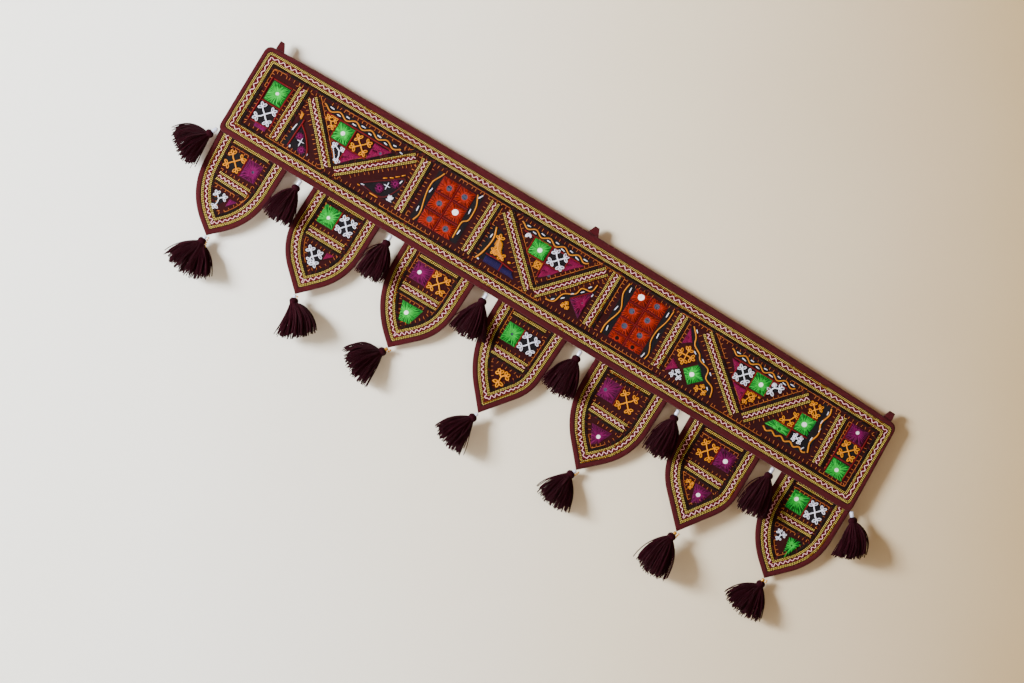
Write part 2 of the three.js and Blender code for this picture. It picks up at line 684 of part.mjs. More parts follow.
LOOPS.forEach((loop) => add(loop.name, hangingLoop(loop), MATERIALS.binding));

export default toran;
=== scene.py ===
# %% [markdown]
# # A toran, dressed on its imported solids
# A toran is an embroidered band of cloth that hangs over a doorway. This one has seven pointed pennants
# behind its lower edge, braid trims, square patches with little mirrors, and yarn tassels. The packed
# solids already have every piece at its real size and place. This lesson lays cloth, stitches, cords,
# mirrors, beads and yarn on them. Sizes are in millimetres in the part's own frame: X along the band, Z up,
# and the front faces -Y.

# %% Load the frame
import json
import math

import bmesh
import bpy
import numpy as np
from mathutils import Matrix, Vector

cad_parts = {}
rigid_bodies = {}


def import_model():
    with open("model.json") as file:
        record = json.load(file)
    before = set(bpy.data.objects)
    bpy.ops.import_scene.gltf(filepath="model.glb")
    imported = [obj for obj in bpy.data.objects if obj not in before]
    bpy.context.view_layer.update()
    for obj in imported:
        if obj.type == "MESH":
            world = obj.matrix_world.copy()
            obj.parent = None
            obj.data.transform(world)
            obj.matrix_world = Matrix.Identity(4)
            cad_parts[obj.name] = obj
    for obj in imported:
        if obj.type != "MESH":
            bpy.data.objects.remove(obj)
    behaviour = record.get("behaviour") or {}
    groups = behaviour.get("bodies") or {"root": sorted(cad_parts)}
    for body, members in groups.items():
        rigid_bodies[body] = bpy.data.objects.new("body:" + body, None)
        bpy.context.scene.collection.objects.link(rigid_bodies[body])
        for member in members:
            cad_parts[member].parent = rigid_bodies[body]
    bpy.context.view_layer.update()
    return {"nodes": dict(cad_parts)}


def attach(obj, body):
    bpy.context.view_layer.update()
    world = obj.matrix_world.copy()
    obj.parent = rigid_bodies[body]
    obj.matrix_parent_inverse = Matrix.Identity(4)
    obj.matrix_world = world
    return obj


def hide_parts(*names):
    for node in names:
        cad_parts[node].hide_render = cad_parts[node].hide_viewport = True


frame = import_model()
MM = 0.001
ROOT = "root"
print("solids in the frame:", len(frame["nodes"]))


def add_object(name, data):
    made = bpy.data.objects.new(name, data)
    bpy.context.scene.collection.objects.link(made)
    return made


def mesh_from(name, bm):
    mesh = bpy.data.meshes.new(name)
    bm.to_mesh(mesh)
    bm.free()
    return mesh


# %% [markdown]
# ## Camera, wall and light
# The picture is taken from straight in front with a long lens and a turned camera, so the level band runs
# down to the right. A camera has no roll setting of its own, so its matrix is built from the three
# directions that it needs: its right, its up and its back.

# %% Camera
LENS = 135.0
SENSOR = 36.0
SEEN_WIDTH = 1273.0  # of the hanging's plane, across the frame
FRAME_CENTRE = (-9.9, -165.9)
ROLL_DEGREES = 31.2
ROLL = math.radians(ROLL_DEGREES)
camera_data = bpy.data.cameras.new("camera")
camera_data.lens = LENS
camera_data.sensor_width = SENSOR
camera = add_object("camera", camera_data)
bpy.context.scene.camera = camera
right = Vector((math.cos(ROLL), 0, math.sin(ROLL)))
up = Vector((-math.sin(ROLL), 0, math.cos(ROLL)))
back = Vector((0, -1, 0))
away = SEEN_WIDTH * LENS / SENSOR * MM
camera.matrix_world = (
    Matrix.Translation((FRAME_CENTRE[0] * MM, -away, FRAME_CENTRE[1] * MM))
    @ Matrix((right, up, back)).transposed().to_4x4()
)
print("camera stands", round(away, 2), "m in front")


# %% [markdown]
# A shader's colours are linear values, while a colour picked by eye is in screen values. One helper turns
# the second into the first. The others each add one kind of node and link it, so that a material stays
# short to read.

# %% Shader helpers
def screen(red, green, blue):
    """A colour as the eye picks it from a screen, 0 to 255, in Blender's linear values."""
    linear = []
    for value in (red, green, blue):
        share = value / 255
        linear.append(share / 12.92 if share < 0.04045 else ((share + 0.055) / 1.055) ** 2.4)
    return (*linear, 1.0)


def add_node(tree, kind, **fields):
    made = tree.nodes.new(kind)
    for field, value in fields.items():
        setattr(made, field, value)
    return made


def blank_material(name, roughness, **sockets):
    """A material with only a Principled shader, whose plain numbers are set on its own sockets."""
    material = bpy.data.materials.new(name)
    material.use_nodes = True
    tree = material.node_tree
    tree.nodes.clear()
    shader = add_node(tree, "ShaderNodeBsdfPrincipled")
    output = add_node(tree, "ShaderNodeOutputMaterial")
    tree.links.new(shader.outputs["BSDF"], output.inputs["Surface"])
    shader.inputs["Roughness"].default_value = roughness
    for socket, value in sockets.items():
        shader.inputs[socket.replace("_", " ")].default_value = value
    return material, tree, shader


def math_node(tree, operation, first, second=None):
    """A Math node. Numbers are set on it, and sockets are linked to it."""
    made = add_node(tree, "ShaderNodeMath", operation=operation)
    for socket, value in zip(made.inputs, (first, second)):
        if isinstance(value, (int, float)):
            socket.default_value = value
        elif value is not None:
            tree.links.new(value, socket)
    return made.outputs[0]


def mixed(tree, share, first, second):
    """A colour between two colours, by a share from 0 to 1."""
    made = add_node(tree, "ShaderNodeMix", data_type="RGBA")
    for socket, value in ((made.inputs[0], share), (made.inputs[6], first), (made.inputs[7], second)):
        if isinstance(value, (int, float, tuple)):
            socket.default_value = value
        else:
            tree.links.new(value, socket)
    return made.outputs[2]


def object_place(tree):
    return add_node(tree, "ShaderNodeTexCoord").outputs["Object"]


def noise(tree, vector, scale, detail=2.0):
    made = add_node(tree, "ShaderNodeTexNoise")
    made.inputs["Scale"].default_value = scale
    made.inputs["Detail"].default_value = detail
    tree.links.new(vector, made.inputs["Vector"])
    return made.outputs["Fac"]


def ramp(tree, share, *stops):
    """A colour ramp. Each stop is a position and a colour."""
    made = add_node(tree, "ShaderNodeValToRGB")
    elements = made.color_ramp.elements
    for element, (position, colour) in zip(elements, (stops[0], stops[-1])):
        element.position, element.color = position, colour
    for position, colour in stops[1:-1]:
        elements.new(position).color = colour
    tree.links.new(share, made.inputs["Fac"])
    return made.outputs["Color"]


def bump_from(tree, shader, height, depth, strength=0.6):
    bump = add_node(tree, "ShaderNodeBump")
    bump.inputs["Distance"].default_value = depth * MM
    bump.inputs["Strength"].default_value = strength
    tree.links.new(height, bump.inputs["Height"])
    tree.links.new(bump.outputs["Normal"], shader.inputs["Normal"])


# %% [markdown]
# The wall stands just behind the tassels, which rest against it. Its colour darkens from the window's side
# to the far lower corner: this is painted shade, the falloff of the window's light painted into the wall.
# Seen from behind it would hide the hanging, so its back is transparent, and shadows pass it too. Both it
# and the floor are stage: they belong to the picture and not to the object.

# %% Wall and floor
WALL_AT = 20.0
WALL_SIZE = 9.0
FLOOR_AT = -1.1
# the wall's colour stops, lit, half shaded and shaded: the darkening between them is painted shade
WALL_PAINTED_LIT = screen(250, 250, 244)
WALL_PAINTED_HALF_SHADE = screen(232, 220, 196)
WALL_PAINTED_SHADE = screen(186, 160, 114)
SLOPE_START = -0.62
SLOPE_LENGTH = 1.3


def wall_material():
    material, tree, shader = blank_material("wall_with_painted_shade", 0.9)
    place = object_place(tree)
    slope = add_node(tree, "ShaderNodeMapping", vector_type="TEXTURE")
    slope.inputs["Location"].default_value = (SLOPE_START, 0, 0)
    slope.inputs["Rotation"].default_value = (0, -ROLL, 0)
    slope.inputs["Scale"].default_value = (SLOPE_LENGTH, 1, 1)
    tree.links.new(place, slope.inputs["Vector"])
    gradient = add_node(tree, "ShaderNodeTexGradient")
    tree.links.new(slope.outputs["Vector"], gradient.inputs["Vector"])
    drift = math_node(tree, "MULTIPLY", noise(tree, place, 1.1, 3), 0.25)
    amount = math_node(tree, "ADD", drift, gradient.outputs["Fac"])
    # painted shade: the wall's colour darkens along the slope away from the window
    painted_shade_ramp = ramp(tree, amount, (0.15, WALL_PAINTED_LIT), (0.56, WALL_PAINTED_HALF_SHADE), (1.0, WALL_PAINTED_SHADE))
    tree.links.new(painted_shade_ramp, shader.inputs["Base Color"])
    bump_from(tree, shader, noise(tree, place, 160, 4), 1.0, 0.12)
    behind = add_node(tree, "ShaderNodeNewGeometry").outputs["Backfacing"]
    shadow = add_node(tree, "ShaderNodeLightPath").outputs["Is Shadow Ray"]
    clear = add_node(tree, "ShaderNodeBsdfTransparent")
    mix = add_node(tree, "ShaderNodeMixShader")
    output = next(n for n in tree.nodes if n.type == "OUTPUT_MATERIAL")
    tree.links.new(math_node(tree, "MAXIMUM", behind, shadow), mix.inputs[0])
    tree.links.new(shader.outputs["BSDF"], mix.inputs[1])
    tree.links.new(clear.outputs["BSDF"], mix.inputs[2])
    tree.links.new(mix.outputs["Shader"], output.inputs["Surface"])
    return material


def stage_plane(name, placed, material):
    bm = bmesh.new()
    bmesh.ops.create_grid(bm, x_segments=1, y_segments=1, size=WALL_SIZE / 2)
    bmesh.ops.transform(bm, matrix=placed, verts=bm.verts)
    plane = add_object(name, mesh_from(name, bm))
    plane.data.materials.append(material)
    return plane


standing = Matrix.Translation((0, WALL_AT * MM, 0)) @ Matrix.Rotation(math.radians(90), 4, "X")
wall = stage_plane("wall", standing, wall_material())
floor_finish, _, floor_shader = blank_material("pale_floor", 0.8)
floor_shader.inputs["Base Color"].default_value = screen(214, 208, 198)
stage_plane("floor", Matrix.Translation((0, 0, FLOOR_AT)), floor_finish)
print("the wall faces", wall.data.polygons[0].normal[:])

# %% [markdown]
# One large window-like light stands low on the left, so the shadows fall to the right and a little upwards,
# a little further than a thing stands off the wall. A weak light from the front and a warm world fill the
# shadows. One more lights the back for whoever walks round the hanging.

# %% Lights
KEY_TRAVEL = Vector((0.75, 0.63, 0.18)).normalized()
FILL_TRAVEL = Vector((-0.25, 0.94, -0.24)).normalized()
BACK_TRAVEL = Vector((0.1, -0.95, -0.25)).normalized()
LIT_PLACE = Vector((0, 0, -0.13))
LIGHTS = (  # name, travel, distance, size, power, colour
    ("window_light", KEY_TRAVEL, 3.6, 1.35, 435, (0.94, 0.97, 1.0)),
    ("front_fill", FILL_TRAVEL, 3.4, 1.0, 14, (1.0, 0.95, 0.88)),
    ("back_fill", BACK_TRAVEL, 3.0, 2.0, 90, (1.0, 0.98, 0.96)),
)
WORLD_COLOUR = (1.0, 0.6, 0.27, 1)
WORLD_STRENGTH = 0.34
for name, travel, distance, size, power, colour in LIGHTS:
    data = bpy.data.lights.new(name, "AREA")
    data.shape = "DISK"
    data.size = size
    data.energy = power
    data.color = colour
    light = add_object(name, data)
    light.location = LIT_PLACE - travel * distance
    light.rotation_mode = "QUATERNION"
    light.rotation_quaternion = travel.to_track_quat("-Z", "Y")
world = bpy.data.worlds.new("room")
world.use_nodes = True
world.node_tree.nodes["Background"].inputs["Color"].default_value = WORLD_COLOUR
world.node_tree.nodes["Background"].inputs["Strength"].default_value = WORLD_STRENGTH
bpy.context.scene.world = world
print("lights:", len(LIGHTS))

# %% [markdown]
# ## The hanging form of the cloth
# The solids hang in two slow waves, and the top right corner turns back from the wall's plane. Each new
# piece has to lie on that form, so it is written once as a function of the place on the cloth. A few small
# puckers are added, as sewn trims draw the cloth in.

# %% The form
WAVES = (  # half depth, length, slant, start
    (2.1, 320, 0.25, 0.4),
    (0.8, 176, -0.5, 2.1),
)
PUCKERS = ((0.16, 41, 0.9, 0.3), (0.13, 27, -1.3, 1.7), (0.09, 17, 0.4, 4.0))
CURL = {"from_x": 392, "from_z": -80, "to_x": 455, "depth": 4.6}


def swell(x, z):
    """How far the cloth stands back (+) or forward (-) at a place."""
    depth = 0.0
    for half, length, slant, start in WAVES + PUCKERS:
        depth = depth + half * np.sin((x + slant * z) / length * 2 * np.pi + start)
    across = np.clip((x - CURL["from_x"]) / (CURL["to_x"] - CURL["from_x"]), 0, 1)
    up_share = np.clip((z - CURL["from_z"]) / -CURL["from_z"], 0, 1)
    return depth + CURL["depth"] * across**2 * up_share


print("swell at the middle of the top:", round(float(swell(0, 0)), 2), "mm")

# %% [markdown]
# The band is a long rectangle whose top edge rises a little from its ends to its middle. Its rings are the
# outer edge, the seam of the binding, and the two sides of the border trim. Any line between two rings is
# found by blending them, so that a binding, a ribbon or a row of stitches can run round the band at any
# width.

# %% The band's rings
CORNERS = ("top_left", "top_right", "bottom_right", "bottom_left")
BAND_EDGE = {
    "top_left": (-460.4, -8.3), "top_right": (455, -8.3),
    "bottom_right": (460.2, -131), "bottom_left": (-460.4, -129.4), "radius": 9,
}
BINDING_SEAM = {
    "top_left": (-455.2, -12.9), "top_right": (452.2, -13.2),
    "bottom_right": (454.4, -123.4), "bottom_left": (-455.2, -122.9), "radius": 5,
}
TRIM_OUTER = {
    "top_left": (-454.7, -13.4), "top_right": (451.7, -13.7),
    "bottom_right": (453.9, -122.9), "bottom_left": (-454.7, -122.4), "radius": 5,
}
TRIM_INNER = {
    "top_left": (-442, -25.4), "top_right": (440.4, -26),
    "bottom_right": (441.4, -110.8), "bottom_left": (-442, -110.4), "radius": 2,
}
ARCH = {"cloth": 4.5, "foot": -95, "full": -35, "edge": 3.8}
EDGE_SHARE = 0.46  # where the raw edge of the cloth lies in the binding's fold
FINE_STEP = 3.0
CORNER_STEPS = 6


def arched(points):
    """Lifts places of the flat band into the arch of its top."""
    x, z = points[..., 0], points[..., 1]
    left, right_end = BAND_EDGE["top_left"][0], BAND_EDGE["top_right"][0]
    along = np.clip((x - left) / (right_end - left), 0, 1)
    in_cloth = np.clip((z - ARCH["foot"]) / (ARCH["full"] - ARCH["foot"]), 0, 1)
    seam, edge = BINDING_SEAM["top_left"][1], BAND_EDGE["top_left"][1]
    in_edge = np.clip((z - seam) / (edge - seam), 0, 1)
    rise = np.sqrt(np.sin(np.pi * along).clip(0)) * (ARCH["cloth"] * in_cloth + ARCH["edge"] * in_edge)
    return np.stack([x, z + rise], axis=-1)


def straight(a, b, steps):
    """Points from a to b without the last one."""
    shares = np.arange(steps)[:, None] / steps
    return np.asarray(a) + (np.asarray(b) - np.asarray(a)) * shares


def bend(a, corner, b, steps):
    """Points of a soft corner from a to b, without the last one."""
    t = np.arange(steps)[:, None] / steps
    a, corner, b = (np.asarray(p, float) for p in (a, corner, b))
    return (1 - t) ** 2 * a + 2 * t * (1 - t) * corner + t**2 * b


def toward(here, there, distance):
    here, there = np.asarray(here, float), np.asarray(there, float)
    return here + (there - here) / np.linalg.norm(there - here) * distance


def band_ring(outer, inner, share):
    """The closed line between two rings, clockwise from the top left."""
    spots = [np.array(outer[c]) * (1 - share) + np.array(inner[c]) * share for c in CORNERS]
    radius = outer["radius"] * (1 - share) + inner["radius"] * share
    line = []
    for i, here in enumerate(spots):
        before, after = spots[i - 1], spots[(i + 1) % 4]
        start, end = toward(here, before, radius), toward(here, after, radius)
        line.append(bend(start, here, end, CORNER_STEPS))
        full = np.linalg.norm(np.subtract(BAND_EDGE[CORNERS[i]], BAND_EDGE[CORNERS[(i + 1) % 4]]))
        line.append(straight(end, toward(after, here, radius), round(full / FINE_STEP)))
    line = np.concatenate(line)
    return arched(np.vstack([line, line[:1]]))


print("points round the band:", len(band_ring(BAND_EDGE, BINDING_SEAM, 0)))

# %% [markdown]
# A pennant is a tab with soft shoulders and a point. Its table holds where its sides and shoulders are, how
# far each shoulder's curve runs, its tip, and how far the tip curls forward or back. An outline at any
# distance inside it is the same route, moved in.

# %% The pennants' outlines
PENNANTS = (
    {"left": (-458, -452), "right": (-358.7, -360), "heights": (-212.4, -208), "rounds": (42, 38),
     "tip": (-403.8, -250.2), "curl": 2, "cross": ((-429.4, -178), (-386.6, -179))},
    {"left": (-320.8, -322), "right": (-223.8, -224.8), "heights": (-207.4, -208.4), "rounds": (35, 35),
     "tip": (-271.2, -255.4), "curl": -3, "cross": ((-298.6, -177.2), (-250.6, -177.2))},
    {"left": (-188.5, -188.4), "right": (-85.8, -88.4), "heights": (-207.4, -205.4), "rounds": (52, 31),
     "tip": (-138, -252.6), "curl": 3, "cross": ((-163.2, -176.8), (-112.6, -176.8))},
    {"left": (-52.2, -51.6), "right": (49.1, 44.6), "heights": (-203, -208.4), "rounds": (46, 20),
     "tip": (0, -264), "curl": -2, "cross": ((-24.4, -185), (21, -186))},
    {"left": (89.5, 90.2), "right": (194.6, 193.6), "heights": (-203.2, -212), "rounds": (39, 38),
     "tip": (141.2, -261.6), "curl": 3, "cross": ((116.4, -183.6), (166, -185.6))},
    {"left": (227.6, 228.8), "right": (329.5, 330), "heights": (-202.4, -203), "rounds": (31, 19),
     "tip": (287.2, -262.2), "curl": -3, "cross": ((256, -183.4), (304.6, -184.4))},
    {"left": (360.6, 360.4), "right": (459.5, 459), "heights": (-210, -206.6), "rounds": (46, 34),
     "tip": (411.4, -255.4), "curl": 2, "cross": ((387, -177.6), (433.2, -176.6))},
)
BAND_FOOT = -129
PENNANT_TOP = BAND_FOOT + 8
TUCK_DEPTH = 4.8
PENNANT_BINDING = 6.2
SHOULDER_TIGHTER = 0.38
SIDE_STEPS = {"upright": 24, "shoulder": 20, "point": 14}


def moved_in(route, distance):
    """A route moved to its left side by a distance, with each turn mitred."""
    route = np.asarray(route, float)
    along = np.diff(route, axis=0)
    along /= np.linalg.norm(along, axis=1)[:, None]
    normals = np.stack([-along[:, 1], along[:, 0]], axis=1)
    before = np.vstack([normals[:1], normals])
    after = np.vstack([normals, normals[-1:]])
    middle = before + after
    middle /= np.linalg.norm(middle, axis=1)[:, None]
    return route + middle * (distance / (middle * after).sum(1))[:, None]


def pennant_sides(pennant, inset):
    """The left and the right edge of a pennant from the band to the tip, at a distance inside its outline."""
    left, right_side = pennant["left"], pennant["right"]
    route = [
        (left[0], PENNANT_TOP), (left[1], pennant["heights"][0]), pennant["tip"],
        (right_side[1], pennant["heights"][1]), (right_side[0], PENNANT_TOP),
    ]
    inner = moved_in(route, inset)
    inner[0, 1] = inner[-1, 1] = PENNANT_TOP
    sides = []
    for top, shoulder, reach in ((inner[0], inner[1], 0), (inner[4], inner[3], 1)):
        run = pennant["rounds"][reach] - SHOULDER_TIGHTER * inset
        start, end = toward(shoulder, top, run), toward(shoulder, inner[2], run)
        sides.append(np.vstack([
            straight(top, start, SIDE_STEPS["upright"]),
            bend(start, shoulder, end, SIDE_STEPS["shoulder"]),
            straight(end, inner[2], SIDE_STEPS["point"]),
            inner[2:3],
        ]))
    return sides


def pennant_line(pennant, inset):
    """The whole line from the top left round the tip to the top right."""
    left, right_side = pennant_sides(pennant, inset)
    return np.vstack([left, right_side[-2::-1]])


class Cloth:
    """One hanging cloth: its name and its form, on which everything else is laid."""

    def __init__(self, name, pennant=None):
        self.name = name
        self.pennant = pennant

    def depth(self, x, z):
        if self.pennant is None:
            return swell(x, z)
        tip = self.pennant["tip"][1]
        down = np.clip((PENNANT_TOP - z) / (PENNANT_TOP - tip), 0, 1)
        return swell(x, z) + TUCK_DEPTH + self.pennant["curl"] * down**2

    def lay(self, plan, out):
        """Places of the plan, so far in front of the cloth's middle, as points in space."""
        plan = np.asarray(plan, float)
        x, z = plan[..., 0], plan[..., 1]
        return np.stack([x, self.depth(x, z) - out, z], axis=-1)


band = Cloth("band")
pennant_cloths = [Cloth(f"pennant_{i + 1}", row) for i, row in enumerate(PENNANTS)]
print("pennants:", len(pennant_cloths))


# %% [markdown]
# ## Making a sheet from lines
# Cloth, bindings and ribbons are all grids. Blender's grid operator makes the faces, and each point is then
# put on a line of its own: the first lines run down one edge, the last down the other. A binding's lines
# close on themselves, so doubled points are merged and the normals are set after that.

# %% Grids from lines
def new_piece(name, mesh, materials):
    """Adds a finished mesh, with its materials, as a piece that rides on the hanging."""
    for material in materials:
        mesh.materials.append(material)
    piece = add_object(name, mesh)
    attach(piece, ROOT)
    return piece


def mesh_of_lines(name, lines, solid=False):
    """A grid with one row of points for each line. lines has the shape (lines, points, 3), in millimetres."""
    lines = np.asarray(lines, float)
    across, along = lines.shape[0] - 1, lines.shape[1] - 1
    bm = bmesh.new()
    bmesh.ops.create_grid(bm, x_segments=across, y_segments=along, size=0.5)
    for vert in bm.verts:
        row = round((vert.co.x + 0.5) * across)
        place = round((vert.co.y + 0.5) * along)
        vert.co = Vector(lines[row, place]) * MM
    bmesh.ops.remove_doubles(bm, verts=bm.verts, dist=0.002 * MM)
    bmesh.ops.dissolve_degenerate(bm, edges=bm.edges, dist=0.001 * MM)
    if solid:
        open_edges = [e for e in bm.edges if e.is_boundary]
        if open_edges:
            bmesh.ops.holes_fill(bm, edges=open_edges, sides=0)
        bmesh.ops.recalc_face_normals(bm, faces=bm.faces)
    elif sum(f.normal.y * f.calc_area() for f in bm.faces) > 0:
        bmesh.ops.reverse_faces(bm, faces=bm.faces)
    mesh = mesh_from(name, bm)
    mesh.shade_smooth()
    return mesh


def thicken(piece, thickness, back=0):
    """Gives a sheet its thickness on both sides. back is how many slots later the back's material comes."""
    solidify = piece.modifiers.new("thickness", "SOLIDIFY")
    solidify.thickness = thickness * MM
    solidify.offset = 0
    solidify.material_offset = back
    return piece


def run_length(line):
    return float(np.linalg.norm(np.diff(np.asarray(line, float), axis=0), axis=1).sum())


# %% [markdown]
# ## Cloth and thread as shader groups
# Three effects come back in many materials, so each is a node group made once. Hand-dyed cotton is never
# one even colour: broad soft patches and fine flecks vary it. A plain weave has threads that pass over and
# under each other, so two rows of waves take turns on a fine check. Embroidery thread is twisted, and no
# two stitches catch the light alike; the grooves between its fibres get painted shade.

# %% Node groups
def new_group(name, numbers=(), colours=(), outputs=()):
    group = bpy.data.node_groups.new(name, "ShaderNodeTree")
    for socket in colours:
        group.interface.new_socket(socket, in_out="INPUT", socket_type="NodeSocketColor")
    for socket, value in numbers:
        made = group.interface.new_socket(socket, in_out="INPUT", socket_type="NodeSocketFloat")
        made.default_value = value
    for socket, kind in outputs:
        group.interface.new_socket(socket, in_out="OUTPUT", socket_type=f"NodeSocket{kind}")
    return group, add_node(group, "NodeGroupInput"), add_node(group, "NodeGroupOutput")


def hand_dye_group():
    group, given, result = new_group(
        "hand_dye", numbers=(("Patchiness", 0.5), ("Flecks", 0.3)), colours=("Colour", "Second Colour"),
        outputs=(("Colour", "Color"), ("Mask", "Float")),
    )
    place = object_place(group)
    broad = math_node(group, "MULTIPLY", noise(group, place, 28, 3), given.outputs["Patchiness"])
    fine = math_node(group, "MULTIPLY", noise(group, place, 700, 2), given.outputs["Flecks"])
    mask = math_node(group, "ADD", broad, fine)
    colour = mixed(group, mask, given.outputs["Colour"], given.outputs["Second Colour"])
    group.links.new(colour, result.inputs["Colour"])
    group.links.new(mask, result.inputs["Mask"])
    return group


def plain_weave_group():
    group, given, result = new_group(
        "plain_weave", numbers=(("Threads per Metre", 2200),),
        outputs=(("Height", "Float"), ("Gap", "Float")),
    )
    place = object_place(group)
    parts = add_node(group, "ShaderNodeSeparateXYZ")
    group.links.new(place, parts.inputs[0])
    turns = math_node(group, "MULTIPLY", given.outputs["Threads per Metre"], math.pi)
    across = math_node(group, "MULTIPLY", parts.outputs["X"], turns)
    upward = math_node(group, "MULTIPLY", parts.outputs["Z"], turns)
    warp = math_node(group, "ABSOLUTE", math_node(group, "SINE", across))
    weft = math_node(group, "ABSOLUTE", math_node(group, "SINE", upward))
    over = math_node(group, "MULTIPLY", math_node(group, "SINE", across), math_node(group, "SINE", upward))
    over = math_node(group, "GREATER_THAN", over, 0.0)
    mix = add_node(group, "ShaderNodeMix", data_type="FLOAT")
    for source, socket in zip((over, warp, weft), (mix.inputs[0], mix.inputs[2], mix.inputs[3])):
        group.links.new(source, socket)
    group.links.new(mix.outputs[0], result.inputs["Height"])
    group.links.new(math_node(group, "SUBTRACT", 1.0, mix.outputs[0]), result.inputs["Gap"])
    return group


def twisted_thread_group():
    group, given, result = new_group(
        "twisted_thread", numbers=(("Unevenness", 0.5),), colours=("Colour", "Second Colour", "Deep Colour"),
        outputs=(("Colour", "Color"), ("Height", "Float")),
    )
    place = object_place(group)
    stitch = add_node(group, "ShaderNodeAttribute", attribute_name="shade").outputs["Fac"]
    patches = math_node(group, "MULTIPLY", noise(group, place, 65, 2), given.outputs["Unevenness"])
    share = math_node(group, "ADD", patches, math_node(group, "MULTIPLY", stitch, 0.5))
    colour = mixed(group, share, given.outputs["Colour"], given.outputs["Second Colour"])
    # painted shade: the low parts of the fibres' noise are darkened, as shade in the grooves between fibres
    fibres = noise(group, place, 2600, 3)
    painted_groove_shade = math_node(group, "MULTIPLY", math_node(group, "SUBTRACT", 0.5, fibres), 2.2)
    painted_groove_shade = math_node(group, "MAXIMUM", painted_groove_shade, 0.0)
    colour = mixed(group, math_node(group, "MINIMUM", painted_groove_shade, 0.8), colour, given.outputs["Deep Colour"])
    group.links.new(colour, result.inputs["Colour"])
    group.links.new(fibres, result.inputs["Height"])
    return group


HAND_DYE = hand_dye_group()
PLAIN_WEAVE = plain_weave_group()
TWISTED_THREAD = twisted_thread_group()
print("shader groups:", len(bpy.data.node_groups))


# %% [markdown]
# A cloth material mixes two shades of its dye, darkens the gaps of the weave a little as painted shade, and
# raises the threads with a bump. A thread material does the same with its fibres, darkening their grooves as
# painted shade. Sheen gives both the soft pale rim that cotton has.

# %% Cloth and thread materials
def grouped(tree, group, **inputs):
    made = add_node(tree, "ShaderNodeGroup", node_tree=group)
    for socket, value in inputs.items():
        made.inputs[socket.replace("_", " ")].default_value = value
    return made


def darker(colour, share):
    return (*(value * share for value in colour[:3]), 1.0)


def cloth_material(name, colour, second, threads=2200, gap=0.45, sheen=0.15):
    """Woven cloth. Both colours are screen values."""
    material, tree, shader = blank_material(name, 0.88, Sheen_Weight=sheen, Sheen_Roughness=0.5)
    shader.inputs["Specular IOR Level"].default_value = 0.15
    colour, second = screen(*colour), screen(*second)
    dye = grouped(tree, HAND_DYE, Colour=colour, Second_Colour=second, Patchiness=0.8, Flecks=0.25)
    weave = grouped(tree, PLAIN_WEAVE, Threads_per_Metre=threads)
    # painted shade: the gaps of the weave are darkened towards a deeper copy of the dye
    shaded = math_node(tree, "MULTIPLY", weave.outputs["Gap"], gap)
    tone = mixed(tree, shaded, dye.outputs["Colour"], darker(colour, 0.35))
    tree.links.new(tone, shader.inputs["Base Color"])
    bump_from(tree, shader, weave.outputs["Height"], 0.12)
    return material


def thread_material(name, colour, second, unevenness=0.6, sheen=0.03):
    """Twisted thread. Both colours are screen values."""
    material, tree, shader = blank_material(name, 0.65, Sheen_Weight=sheen, Sheen_Roughness=0.4)
    shader.inputs["Specular IOR Level"].default_value = 0.12
    colour, second = screen(*colour), screen(*second)
    thread = grouped(
        tree, TWISTED_THREAD, Colour=colour, Second_Colour=second, Deep_Colour=darker(colour, 0.3),
        Unevenness=unevenness,
    )
    tree.links.new(thread.outputs["Colour"], shader.inputs["Base Color"])
    bump_from(tree, shader, thread.outputs["Height"], 0.1)
    return material


GROUND = cloth_material("dark_maroon_ground", (52, 2, 4), (22, 1, 3), sheen=0.02)
BACKING = cloth_material("maroon_backing", (84, 30, 36), (66, 22, 28), threads=1800)
BINDING = cloth_material("maroon_binding", (70, 6, 15), (50, 4, 11), threads=2400, gap=0.3, sheen=0.08)
CRIMSON = cloth_material("crimson_strip", (88, 0, 17), (60, 0, 11), threads=2600, sheen=0.04)
BLACK_CLOTH = cloth_material("black_patch", (10, 10, 16), (18, 12, 16), threads=2600, sheen=0.03)
NAVY_CLOTH = cloth_material("navy_patch", (26, 16, 62), (18, 11, 44), threads=2600, sheen=0.04)
THREADS = {
    "gold": thread_material("old_gold_thread", (255, 238, 120), (220, 184, 60), 0.7),
    "amber": thread_material("amber_thread", (204, 128, 16), (160, 86, 6)),
    "pink": thread_material("pale_pink_thread", (255, 204, 218), (236, 160, 184)),
    "black": thread_material("black_thread", (4, 2, 3), (30, 11, 4), 0.3, sheen=0.0),
    "rust": thread_material("rust_thread", (216, 126, 54), (158, 82, 30)),
    "orange": thread_material("orange_thread", (226, 146, 0), (186, 104, 0)),
    "green": thread_material("green_thread", (30, 196, 64), (8, 138, 34)),
    "magenta": thread_material("magenta_thread", (118, 0, 82), (76, 0, 52)),
    "rose": thread_material("rose_thread", (130, 0, 66), (90, 0, 44)),
    "white": thread_material("white_thread", (238, 240, 255), (196, 200, 232)),
    "flame": thread_material("flame_thread", (162, 34, 0), (120, 16, 0)),
    "blood": thread_material("dark_red_thread", (106, 2, 6), (74, 1, 6)),
    "navy": thread_material("navy_thread", (30, 18, 74), (20, 12, 50)),
    "maroon": thread_material("maroon_thread", (78, 10, 16), (46, 6, 12)),
}
THREAD_NAMES = tuple(THREADS)
print("threads:", ", ".join(THREAD_NAMES))

# %% [markdown]
# The mirrors are old silvered glass, a little grey, and specked where the silver has gone. Those that catch
# the window shine white, and that white is a painted glint: their glass is given a near-white colour. The
# white beads are glossy, and the tiny gold ones are metal. The tassels are dark yarn, whose strands run
# down, so their noise is stretched that way.


